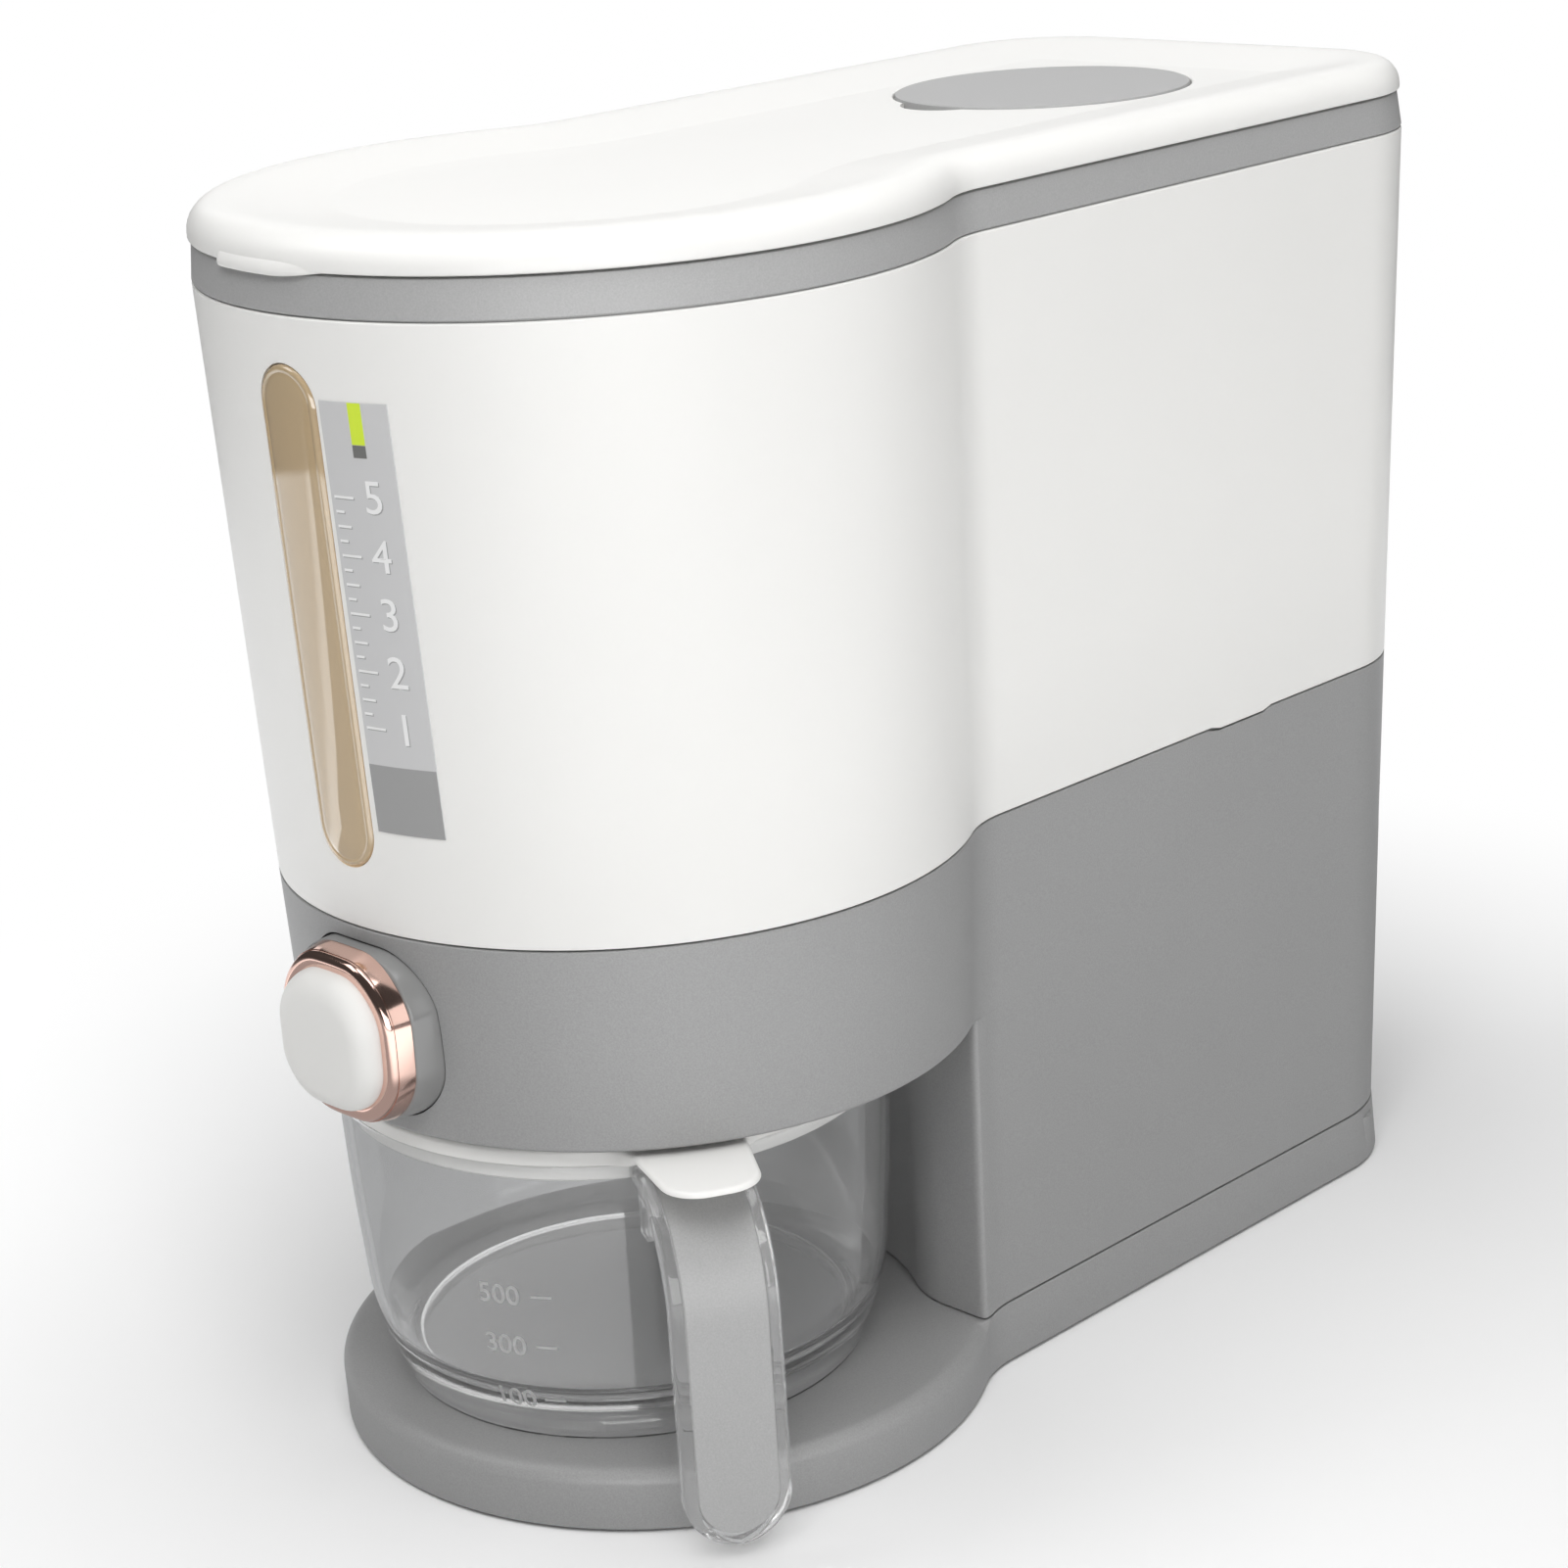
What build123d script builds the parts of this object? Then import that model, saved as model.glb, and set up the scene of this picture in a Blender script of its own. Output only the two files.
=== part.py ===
from build123d import *
import math
import os

os.makedirs("parts", exist_ok=True)

# A countertop rice dispenser. The origin is on the resting plane, on the axis of the
# round front. The front with the button faces -Y, and +Z is up. All sizes are in mm.

# Sizes that stack up to the full height, each standing on the one before
foot_height = 1.0
tray_height = 14.7
column_gap = 0.4
cup_height = 73.5
cup_lid_height = 4.0
cup_headroom = 1.8
overhang_height = 48.6
hopper_height = 137.4
collar_height = 9.0
lid_gap = 0.6
lid_height = 7.6
panel_depth = 4.6

# Heights above the resting plane
base_top = foot_height + tray_height
column_foot = base_top + column_gap
cup_rim = base_top + cup_height
cup_lid_top = cup_rim + cup_lid_height
bay_top = cup_lid_top + cup_headroom
split = bay_top + overhang_height
hopper_rim = split + hopper_height
collar_top = hopper_rim + collar_height
lid_lip = collar_top + lid_gap
lid_crest = lid_lip + lid_height
lid_panel = lid_crest - panel_depth
above_all = lid_crest + 10.0

# Walls and fits
wall = 2.6
thin_wall = 2.0
running_gap = 0.08
slip_gap = 0.3
glide_gap = 0.2
shadow_gap = 0.5

# Plan of the tapering walls: front radius, front centre, half width, back
base_plan = (80.0, 0.0, 64.9, 227.4)
foot_plan = (80.2, 0.0, 63.9, 226.9)
bay_plan = (80.6, 0.0, 65.9, 228.6)
split_plan = (82.7, 0.0, 67.3, 229.6)
rim_plan = (86.2, -1.8, 71.4, 232.6)
collar_plan = (85.4, -1.8, 70.6, 231.8)
corner = 32.0
blend = 27.0

# Measuring cup and the bay round it
cup_y = -10.5
cup_radius = 66.1
cup_wall = 2.2
bay_radius = cup_radius + 4.9
bay_face = 44.5
bay_round = 10.0
handle_angle = 61.5
handle_radius = 27.0
handle_reach = cup_radius + 27.4
handle_width = 25.0
handle_end = 6.0
handle_thick = 5.0
inlay_width = 19.0
inlay_thick = 1.6
tab_round = 9.8
tab_reach = handle_reach + 3.0
cup_lid_hole = cup_radius - 20.1

# Hopper
floor_low = split + 6.4
floor_high = floor_low + 56.0
funnel_radius = 76.0
spout_end = bay_top + 12.8
funnel_bottom = spout_end + 6.2
throat_width = 36.0
throat_length = 7.0
throat_y = -10.0
throat_round = 3.0
ear_top = split - 1.0
lug_centre = 147.0
lug_length = 21.0
lug_drop = 0.9

# Window and level scale
window_width = 17.0
window_low = split + 14.1
window_high = hopper_rim - 11.0
window_flange = 2.0
label_width = 17.6
label_centre_x = 19.1
label_low = window_low + 10.0
label_high = window_high - 6.4
label_thickness = 0.3
label_tilt = 1.1

# Push button and slide valve
button_z = bay_top + overhang_height / 2 + 0.1
pad_size = 32.0
pad_corner = 11.5
pad_bulge = 0.9
pad_front = -97.3
pad_back = -81.0
pad_wall = 2.3
bezel_front = -91.3
bezel_size = 38.6
bezel_flare = 1.2
housing_front = -85.6
housing_width = 43.0
housing_height = 40.6
housing_seat = -77.5
seat_behind = 4.0
sleeve_size = 37.6
sleeve_end = -63.5
sleeve_floor = 2.5
press_travel = 8.0
stem_radius = 4.0
stem_end = -60.0
spring_radius = 5.9
spring_wire = 1.2
spring_turns = 5.5
spring_front = -88.0
gate_thickness = 2.2
gate_width = 46.0
gate_back = 9.0
chute_width = 44.6
chute_length = 22.6
chute_flange = bay_top + 8.0

# Lid
rim_width = 9.0
rim_round = 6.4
panel_inset = 31.0
plug_depth = 7.0
lid_wall = 2.2
groove_low = collar_top - 4.6
groove_high = collar_top - 1.6
cap_y = 157.0
cap_radius = 37.5
cap_height = 2.4
cap_top = lid_panel + cap_height
well_radius = 33.0
basket_depth = 22.0
scoop_radius = 13.0
scoop_depth = 4.0
scoop_angle = 213.0

# Fasteners and feet
base_screw_places = [(x, y) for x in (-57.0, 57.0) for y in (68.0, 204.0)]
hopper_screw_places = [(x, y) for x in (-58.0, 58.0) for y in (98.0, 188.0)]
chute_screw_places = [(-31.0, throat_y), (31.0, throat_y)]
foot_places = [(-46.0, -46.0), (46.0, -46.0), (-38.0, 203.0), (38.0, 203.0)]


def outline(plan, inset=0.0, round_to=corner, hollow=blend):
    """Plan face: round front, hollow blends, straight sides and rounded rear corners."""
    radius, centre, side, back = plan
    radius, side, back = radius - inset, side - inset, back - inset
    rear, inner = max(round_to - inset, 1.0), hollow + inset
    reach = radius + inner
    blend_x = side + inner
    blend_y = centre + math.sqrt(reach**2 - blend_x**2)
    start = (blend_x * radius / reach, centre + (blend_y - centre) * radius / reach)
    turn = math.radians(180 + math.degrees(math.atan2(blend_y - centre, blend_x)) / 2)
    middle = (blend_x + inner * math.cos(turn), blend_y + inner * math.sin(turn))
    diagonal = rear * math.sqrt(0.5)
    knee = (side - rear + diagonal, back - rear + diagonal)
    mirror = [(-x, y) for x, y in (start, middle, (side, blend_y), (side, back - rear), knee)]
    edges = [
        ThreePointArc(mirror[0], (0, centre - radius), start),
        ThreePointArc(start, middle, (side, blend_y)),
        Line((side, blend_y), (side, back - rear)),
        ThreePointArc((side, back - rear), knee, (side - rear, back)),
        Line((side - rear, back), (rear - side, back)),
        ThreePointArc((rear - side, back), mirror[4], mirror[3]),
        Line(mirror[3], mirror[2]),
        ThreePointArc(mirror[2], mirror[1], mirror[0]),
    ]
    return make_face(edges)


def drafted(low_plan, low, high_plan, high, inset=0.0, high_inset=None):
    """Solid between two plan outlines, with straight drafted walls."""
    top_inset = inset if high_inset is None else high_inset
    sections = [Pos(0, 0, low) * outline(low_plan, inset), Pos(0, 0, high) * outline(high_plan, top_inset)]
    return loft(sections, ruled=True)


def plan_at(height, low, low_plan, high, high_plan):
    """Plan sizes at a height on a straight wall between two levels."""
    share = (height - low) / (high - low)
    return tuple(a + (b - a) * share for a, b in zip(low_plan, high_plan))


def squircle(width, height, radius=pad_corner, bulge=pad_bulge):
    """Square with bowed sides and round corners, facing along Z."""
    x, y = width / 2 - bulge, height / 2 - bulge
    sides = [
        ThreePointArc((-x, -y), (0, -y - bulge), (x, -y)),
        ThreePointArc((x, -y), (x + bulge, 0), (x, y)),
        ThreePointArc((x, y), (0, y + bulge), (-x, y)),
        ThreePointArc((-x, y), (-x - bulge, 0), (-x, -y)),
    ]
    face = make_face(sides)
    return fillet(face.vertices(), radius)


def facing_front(shape, y, z=button_z):
    """Turns a shape drawn up along Z so that it points to the front from depth y."""
    return Pos(0, y, z) * Rot(90, 0, 0) * shape


def upright(radius, low, high, x=0.0, y=0.0):
    """Plain vertical cylinder between two heights."""
    centre = Pos(x, y, (low + high) / 2)
    return centre * Cylinder(radius, high - low)


def block(x0, x1, y0, y1, z0, z1):
    """Box given by its limits, in any order."""
    centre = Pos((x0 + x1) / 2, (y0 + y1) / 2, (z0 + z1) / 2)
    return centre * Box(abs(x1 - x0), abs(y1 - y0), abs(z1 - z0))


def side_profile(points, half_width):
    """Prism across the body from an outline drawn in Y and Z."""
    face = make_face(Polyline(*points, close=True))
    return extrude(Plane.YZ * face, half_width, both=True)


def screw(x, y, head_low, tip, head_radius=3.6, shank=1.8, head=2.2):
    """Pan-head screw driven upwards."""
    return upright(head_radius, head_low, head_low + head, x, y) + upright(shank, head_low + head, tip, x, y)


def save(shape, name):
    """Writes one node as a STEP file of clean solids."""
    solids = [solid.clean() for solid in shape.solids()]
    result = solids[0] if len(solids) == 1 else Compound(solids)
    result.label = name
    export_step(result, "parts/" + name + ".step")
    print(name, len(solids), "solids", round(result.volume, 1), "mm3")


# The bay where the cup stands, cut out of the front of the column
def bay(extra=0.0):
    """Space in front of the column: a round hollow with flats beside it."""
    flat = Pos(0, bay_face + extra - 100) * Rectangle(200, 200)
    flat += Pos(0, cup_y) * Circle(bay_radius + extra)
    inner_corners = flat.vertices().filter_by(lambda v: abs(v.Y - bay_face - extra) < 0.01 and abs(v.X) < 60)
    flat = fillet(inner_corners, bay_round - extra)
    return Pos(0, 0, -1) * extrude(flat, bay_top + 1 + extra)


# Base plate: a moulded tray turned upside down, with low ribs, screw bosses and foot pads
post_radius = 5.0
foot_radius = 7.2
foot_recess = 3.4
rib_depth = 3.1
head_recess = 8.0
plate = drafted(base_plan, foot_height, foot_plan, base_top, 0.0)
plate = fillet(plate.edges().group_by(Axis.Z)[-1], 3.6)
rear_plate = drafted(base_plan, foot_height, foot_plan, base_top, 0.0)
rear_plate -= Pos(0, 0, foot_height - base_top) * bay()
plate += rear_plate
plate -= drafted(base_plan, foot_height - 1, foot_plan, base_top - wall, wall)
plinth = Pos(0, 0, base_top - wall) * extrude(outline(foot_plan, 1.0), column_foot - base_top + wall)
plinth_rib = Pos(0, 0, base_top - wall) * extrude(outline(foot_plan, wall + slip_gap), wall + 4.5)
plinth_rib -= Pos(0, 0, base_top - wall) * extrude(outline(foot_plan, 2 * wall), wall + 5)
for x, y in base_screw_places:
    plinth_rib -= upright(post_radius + slip_gap, foot_height, column_foot + 20, x, y)
plate += (plinth - bay(1.0)) + (plinth_rib - bay(wall + slip_gap))
ribs = Sketch()
for y in (-20, 50, 120, 190):
    ribs += Pos(0, y) * Rectangle(180, thin_wall)
for x in (-24, 24):
    ribs += Pos(x, 80) * Rectangle(thin_wall, 320)
rib_block = extrude(Pos(0, 0, base_top - wall - rib_depth) * ribs, rib_depth + 1)
plate += rib_block & drafted(base_plan, foot_height, foot_plan, base_top - 1, wall / 2)
for x, y in base_screw_places:
    plate += upright(post_radius + 1.5, foot_height + 1.5, base_top - 1, x, y)
    plate -= upright(4.2, 0, head_recess, x, y) + upright(2.0, 0, column_foot + 5, x, y)
for x, y in foot_places:
    plate += upright(foot_radius + 2.3, foot_height + 0.6, base_top - 1, x, y)
    plate -= upright(foot_radius, 0, foot_recess, x, y)
save(plate, "base_plate")

feet = Compound([chamfer(upright(foot_radius, 0, foot_recess, x, y).edges().group_by(Axis.Z)[0], 0.6)
                 for x, y in foot_places])
save(feet, "rubber_feet")

screws = [screw(x, y, head_recess - 2.2, column_foot + 18) for x, y in base_screw_places]
save(Compound(screws), "base_screws")

# Lower shell: the column behind the cup and the overhang above it, one hollow moulding
column = drafted(foot_plan, column_foot, bay_plan, bay_top)
head = drafted(bay_plan, bay_top, split_plan, split - shadow_gap)
step = Pos(0, 0, split - shadow_gap) * extrude(outline(split_plan, shadow_gap), shadow_gap)
shell = (column - bay()) + head + step
room = drafted(foot_plan, column_foot - 1, bay_plan, bay_top, wall)
room += drafted(bay_plan, bay_top, split_plan, split + 1, wall)
shell -= room - bay(wall)
tongue = extrude(Pos(0, 0, split - 6) * outline(split_plan, wall - 0.2), 9)
tongue -= extrude(Pos(0, 0, split - 7) * outline(split_plan, wall + 1.6), 11)
tongue -= extrude(Pos(0, 0, split) * (outline(split_plan, 0) - outline(split_plan, wall + slip_gap)), 5)
shell += tongue
seat_outline = squircle(housing_width + 7, housing_height + 6.4, 13)
seat = facing_front(extrude(seat_outline, 8), housing_seat + seat_behind)
shell += seat & drafted(bay_plan, bay_top + 1, split_plan, split - 1, wall / 2)
housing_room = squircle(housing_width + 0.4, housing_height + 0.4, 13.4, 1.2)
shell -= facing_front(extrude(housing_room, 20), housing_seat)
shell -= facing_front(extrude(squircle(sleeve_size + 0.4, sleeve_size + 0.4, 11.7), 40), stem_end)
for x, y in base_screw_places:
    post = upright(post_radius, column_foot, column_foot + 46, x, y)
    shell += post & drafted(foot_plan, 0, bay_plan, bay_top, 1.0)
    shell -= upright(1.9, column_foot - 1, column_foot + 20, x, y)
for x, y in hopper_screw_places:
    reach = math.copysign(70, x)
    ear = block(x - math.copysign(6, x), reach, y - 7, y + 7, ear_top - 3, ear_top)
    shell += ear & drafted(bay_plan, bay_top, split_plan, split, 1.0)
    shell -= upright(2.0, ear_top - 5, ear_top + 1, x, y)
for x, y in chute_screw_places:
    shell += upright(3.6, bay_top + 1, chute_flange, x, y)
    shell -= upright(1.5, bay_top + 3, chute_flange + 1, x, y)
nozzle_hole = RectangleRounded(chute_width + 0.4, chute_length + 0.4, 5.0)
shell -= extrude(Pos(0, throat_y, bay_top - 1) * nozzle_hole, wall + 2)
side_in, side_out = split_plan[2] - 7.3, split_plan[2] + 4.7
lug_start, lug_finish = lug_centre - lug_length / 2, lug_centre + lug_length / 2
lug_cut = [block(s * side_in, s * side_out, lug_start - 0.2, lug_finish + 0.2,
                 split - lug_drop - 0.2, split + 1) for s in (-1, 1)]
outer_half = drafted(bay_plan, bay_top, split_plan, split + 2, wall / 2)
for cut in lug_cut:
    shell -= cut - outer_half
save(shell, "lower_shell")

# Hopper: the white tub with a sloping floor and a funnel down to the slide valve
tub = drafted(split_plan, split, rim_plan, hopper_rim)
inside = drafted(plan_at(bay_top, split, split_plan, hopper_rim, rim_plan), bay_top,
                 plan_at(collar_top, split, split_plan, hopper_rim, rim_plan), collar_top, wall)
floor_slope = (floor_high - floor_low) / (rim_plan[3] - funnel_radius)
before_front, past_back, past_side = -100.0, 240.0, 100.0
floor_end = floor_low + (past_back - funnel_radius) * floor_slope
slab = wall * math.hypot(1, floor_slope)
above_floor = side_profile([(before_front, floor_low), (funnel_radius, floor_low), (past_back, floor_end),
                            (past_back, above_all), (before_front, above_all)], past_side)
below_floor = side_profile([(before_front, bay_top), (past_back, bay_top), (past_back, floor_end - slab),
                            (funnel_radius, floor_low - slab), (before_front, floor_low - slab)], past_side)


def funnel(grow, low, high):
    """Funnel from a round mouth to the narrow throat of the valve."""
    mouth_size = 2 * (funnel_radius + grow)
    mouth = RectangleRounded(mouth_size, mouth_size, funnel_radius + grow - 0.1)
    throat = RectangleRounded(throat_width + 2 * grow, throat_length + 2 * grow, throat_round + grow)
    return loft([Pos(0, throat_y, low) * throat, Pos(0, 0, high) * mouth], ruled=True)


spout = Pos(0, throat_y, spout_end) * extrude(
    RectangleRounded(throat_width + 2 * wall, throat_length + 2 * wall, throat_round + wall), 9)
spout_bore = Pos(0, throat_y, spout_end - 1) * extrude(
    RectangleRounded(throat_width, throat_length, throat_round), 8)
outer_funnel = funnel(wall, funnel_bottom - 2.4, floor_low) + spout
hopper = tub - (inside & above_floor) - ((inside & below_floor) - outer_funnel)
hopper += outer_funnel - (inside & above_floor)
hopper -= funnel(0.0, funnel_bottom, floor_low) + spout_bore
for x, y in hopper_screw_places:
    boss = upright(4.6, ear_top, floor_end, x, y) & below_floor
    hopper += boss & drafted(split_plan, ear_top - 2, rim_plan, hopper_rim, 0.5)
    hopper -= upright(1.9, ear_top - 1, ear_top + 11.5, x, y)
for s in (-1, 1):
    lug = block(s * side_in, s * side_out, lug_start, lug_finish, split - lug_drop, split + 2)
    hopper += (lug & drafted(bay_plan, bay_top, split_plan, split + 0.001)) - outer_half
window_height = window_high - window_low
window_middle = (window_high + window_low) / 2


def window_prism(grow):
    """Upright stadium across the front wall."""
    stadium = SlotOverall(window_height + 2 * grow, window_width + 2 * grow, rotation=90)
    return facing_front(extrude(stadium, 60), -50, window_middle)


hopper -= window_prism(0.0)
save(hopper, "hopper")

save(Compound([screw(x, y, ear_top - 5.2, ear_top + 10) for x, y in hopper_screw_places]), "hopper_screws")

# Window lens, flush outside, with a flange bonded to the wall behind
lens = (tub & window_prism(0.0)) - inside
lens += (inside & window_prism(window_flange)) - drafted(split_plan, split, rim_plan, hopper_rim, wall + 1.2)
save(lens, "window_lens")

# Level scale: a thin curved plate beside the window
label_height = label_high - label_low
label_middle = (label_high + label_low) / 2
label_place = Pos(label_centre_x, -80, label_middle) * Rot(0, label_tilt, 0)
label_prism = label_place * Box(label_width, 40, label_height)
label_skin = drafted(split_plan, split, rim_plan, hopper_rim, -label_thickness) - tub
save(label_skin & label_prism, "level_scale")

# Collar: the grey band on the hopper's rim, with a ring that hangs inside it
band_groove = 0.4
collar = drafted(rim_plan, hopper_rim + band_groove, collar_plan, collar_top)
collar += extrude(Pos(0, 0, hopper_rim) * outline(rim_plan, 0.8), band_groove)
hanger_low = hopper_rim - 7.0
collar += drafted(plan_at(hanger_low, split, split_plan, hopper_rim, rim_plan), hanger_low,
                  rim_plan, hopper_rim + band_groove, wall + 0.1)
throat_plan_inset = wall + 2.2
collar_throat = Pos(0, 0, hanger_low - 1) * outline(collar_plan, throat_plan_inset)
collar -= extrude(collar_throat, collar_top - hanger_low + 2)
save(collar, "hopper_collar")

# Button housing: glossy surround with a sleeve that passes through the shell
rim_depth = 2.4
surround = squircle(housing_width, housing_height, 13.2, 1.2)
housing = facing_front(extrude(surround, rim_depth), housing_seat)
rise = abs(housing_front - housing_seat) - rim_depth
face_edge = Pos(0, 0, rise) * squircle(housing_width - 1.8, housing_height - 0.6, 12.4)
housing += facing_front(loft([surround, face_edge], ruled=True), housing_seat - rim_depth)
sleeve = extrude(squircle(sleeve_size, sleeve_size), abs(housing_seat - sleeve_end))
housing += facing_front(sleeve, sleeve_end)
pad_room = pad_size + 1.6
housing -= facing_front(extrude(squircle(pad_room, pad_room, 12.2), 40), sleeve_end - sleeve_floor)
spigot = pad_room + 2.2
housing -= facing_front(extrude(squircle(spigot, spigot, 12.9), 10), housing_front + 3.0)
base_up = (Align.CENTER, Align.CENTER, Align.MIN)
housing += facing_front(Cylinder(7.5, 3, align=base_up), sleeve_end)
housing -= facing_front(Cylinder(stem_radius + running_gap, 40), sleeve_end)
for s in (-1, 1):
    hook_y = housing_seat + seat_behind + glide_gap
    hook_in, hook_out = s * (sleeve_size / 2 - 0.8), s * (sleeve_size / 2 + 1.4)
    hook = block(hook_in, hook_out, hook_y, hook_y + 2.8, button_z - 5, button_z + 5)
    rear_edges = hook.edges().filter_by(Axis.Z).group_by(Axis.Y)[-1].sort_by(Axis.X)
    housing += chamfer(rear_edges[-1 if s > 0 else 0], 1.8)
save(housing, "button_housing")

# Bezel: the metallised ring around the push pad
bezel_foot = squircle(bezel_size + 2 * bezel_flare, bezel_size + 2 * bezel_flare, 12.6)
bezel_face = Pos(0, 0, abs(bezel_front - housing_front)) * squircle(bezel_size, bezel_size, 12.0)
bezel = facing_front(loft([bezel_foot, bezel_face], ruled=True), housing_front)
bezel = fillet(bezel.edges().group_by(Axis.Y)[0], 2.0)
bezel += facing_front(extrude(squircle(spigot, spigot, 12.9), 3.0), housing_front + 3.0)
bezel -= facing_front(extrude(squircle(pad_room, pad_room, 12.2), 20), housing_front + 5)
save(bezel, "button_bezel")

# Push pad: a hollow cushion-shaped cap on a round stem
pad = facing_front(extrude(squircle(pad_size, pad_size), abs(pad_front - pad_back)), pad_back)
pad = fillet(pad.edges().group_by(Axis.Y)[0], 4.5)
pocket = facing_front(extrude(squircle(pad_size - 2 * pad_wall, pad_size - 2 * pad_wall, 9.5),
                              abs(pad_front - pad_back) - pad_wall), pad_back)
pocket = chamfer(pocket.edges().group_by(Axis.Y)[0], 2.4)
pad -= pocket
pad += facing_front(Cylinder(7.6, 8.0, align=base_up), spring_front)
pad += facing_front(Cylinder(stem_radius, abs(pad_front - stem_end) - 2, align=base_up), stem_end)
for turn in (0, 90):
    rib = facing_front(Rot(0, 0, turn) * Box(pad_size - 3, 1.6, 4, align=base_up), pad_front + 5.3)
    pad += rib & facing_front(extrude(squircle(pad_size - 2, pad_size - 2), 8), pad_front + 6)
pad -= facing_front(Cylinder(1.5, 24), stem_end)
save(pad, "button_pad")

# Return spring: one tube wound along a helix between the housing and the pad
spring_back = sleeve_end - 3.0
spring_length = abs(spring_front - spring_back) - spring_wire
pitch = spring_length / spring_turns
coil_path = Helix(pitch, spring_length, spring_radius)
coil_section = Plane(origin=coil_path @ 0, z_dir=coil_path % 0) * RegularPolygon(spring_wire / 2, 6)
coil = sweep(coil_section, path=coil_path, is_frenet=True)
coil = facing_front(coil, spring_back - spring_wire / 2)
print("least gap between the spring's turns", round(pitch - spring_wire, 2), "mm")
save(coil, "return_spring")

# Slide valve: a gate plate under the throat, joined to the stem by a web
gate_top = spout_end - glide_gap
gate_low = gate_top - gate_thickness
gate = block(-gate_width / 2, gate_width / 2, stem_end, gate_back, gate_low, gate_top)
gate = fillet(gate.edges().filter_by(Axis.Z).group_by(Axis.Y)[-1], 4)
slot = RectangleRounded(throat_width, throat_length, throat_round)
gate -= extrude(Pos(0, throat_y - press_travel, gate_low - 1) * slot, gate_thickness + 2)
gate += block(-12, 12, stem_end, stem_end + 3, gate_low, button_z + 5)
for x in (-11, 11):
    brace = make_face(Polyline((stem_end + 2, gate_top - 0.5), (stem_end + 14, gate_top - 0.5),
                               (stem_end + 2, button_z), close=True))
    gate += Pos(x, 0, 0) * extrude(Plane.YZ * brace, 1.0, both=True)
gate -= Pos(0, stem_end, button_z) * Rot(90, 0, 0) * Cylinder(1.8, 20)
save(gate, "gate_slide")

slide_screw = Pos(0, stem_end + 3, button_z) * Rot(-90, 0, 0) * (
    Cylinder(3.4, 2.2, align=(Align.CENTER, Align.CENTER, Align.MIN)) - Pos(0, 0, 2) * Box(4, 0.9, 1.4))
slide_screw += Pos(0, stem_end + 3.5, button_z) * Rot(90, 0, 0) * Cylinder(
    1.45, 13, align=(Align.CENTER, Align.CENTER, Align.MIN))
save(slide_screw, "slide_screw")

# Outlet chute: guides the gate and leads the grain down through the overhang
flange_top = gate_low - glide_gap
chute = block(-36, 36, -40, 18, chute_flange, flange_top)
chute = fillet(chute.edges().filter_by(Axis.Z), 4)
nozzle = RectangleRounded(chute_width, chute_length, 4.8)
chute += extrude(Pos(0, throat_y, bay_top) * nozzle, chute_flange - bay_top + 1)
outlet = RectangleRounded(chute_width - 3.6, chute_length - 3.6, 4)
inlet = RectangleRounded(throat_width + 2, throat_length + 2, 4)
bore_ends = [Pos(0, throat_y, bay_top - 0.1) * outlet, Pos(0, throat_y, flange_top + 0.1) * inlet]
chute -= loft(bore_ends, ruled=True)
lip_low = gate_top + glide_gap
lip_top = lip_low + 1.4
for s in (-1, 1):
    rail_in, rail_out = s * (gate_width / 2 + glide_gap), s * (gate_width / 2 + 2.8)
    lip_in = s * (gate_width / 2 - 1.6)
    chute += block(rail_in, rail_out, -38, 14, chute_flange, lip_top)
    chute += block(lip_in, rail_out, -38, 14, lip_low, lip_top)
for x, y in chute_screw_places:
    chute -= upright(1.7, chute_flange - 1, flange_top + 1, x, y)
save(chute, "outlet_chute")

driven_down = Pos(0, 0, 2 * flange_top) * Rot(180, 0, 0)
save(Compound([driven_down * screw(x, -y, flange_top - 1.8, flange_top + 5, 2.9, 1.4, 1.8)
               for x, y in chute_screw_places]), "chute_screws")

# Lid: soft raised rim round a sunken panel, hollow below, with a plug that enters the collar
lid = Pos(0, 0, lid_lip) * extrude(outline(collar_plan, -0.7), lid_crest - lid_lip)
lid = fillet(lid.edges().group_by(Axis.Z)[-1], rim_round)
recess = drafted(collar_plan, lid_panel, collar_plan, lid_crest + 0.2, panel_inset, rim_width)
lid -= recess
land = extrude(Pos(0, 0, collar_top) * outline(collar_plan, 2.4), 1.4)
plug_inset = throat_plan_inset + 0.9
plug = extrude(Pos(0, 0, collar_top - plug_depth) * outline(collar_plan, plug_inset), plug_depth + 1)
lid += land + plug
under_recess = drafted(collar_plan, lid_panel - lid_wall, collar_plan, lid_crest - lid_wall + 0.2,
                       panel_inset + 1, rim_width + 1)
hollow = extrude(Pos(0, 0, collar_top - plug_depth - 1) * outline(collar_plan, plug_inset + lid_wall),
                 lid_crest - lid_wall + plug_depth + 1 - collar_top)
lid -= hollow - under_recess
groove = outline(collar_plan, plug_inset - 1) - outline(collar_plan, plug_inset + 0.9)
lid -= extrude(Pos(0, 0, groove_low) * groove, groove_high - groove_low)
pull_tab = Pos(0, 0, collar_top - 1.6) * extrude(outline(collar_plan, -1.7) - outline(collar_plan, -0.4), 3.6)
pull_tab &= block(-20, 20, -120, -60, hopper_rim, above_all)
lid += pull_tab
well_wall = upright(well_radius + thin_wall, lid_panel - 8, lid_panel - 1, 0, cap_y)
lid += well_wall
lid -= upright(well_radius, hopper_rim, above_all, 0, cap_y)
lid -= upright(cap_radius - 1.3, lid_panel - 1.2, above_all, 0, cap_y)
scoop_x = (cap_radius - 7.5) * math.sin(math.radians(scoop_angle))
scoop_y = cap_y + (cap_radius - 7.5) * math.cos(math.radians(scoop_angle))
scoop_floor = upright(scoop_radius + 1.6, lid_panel - scoop_depth - 1.6, lid_panel - 1.2, scoop_x, scoop_y)
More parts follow.
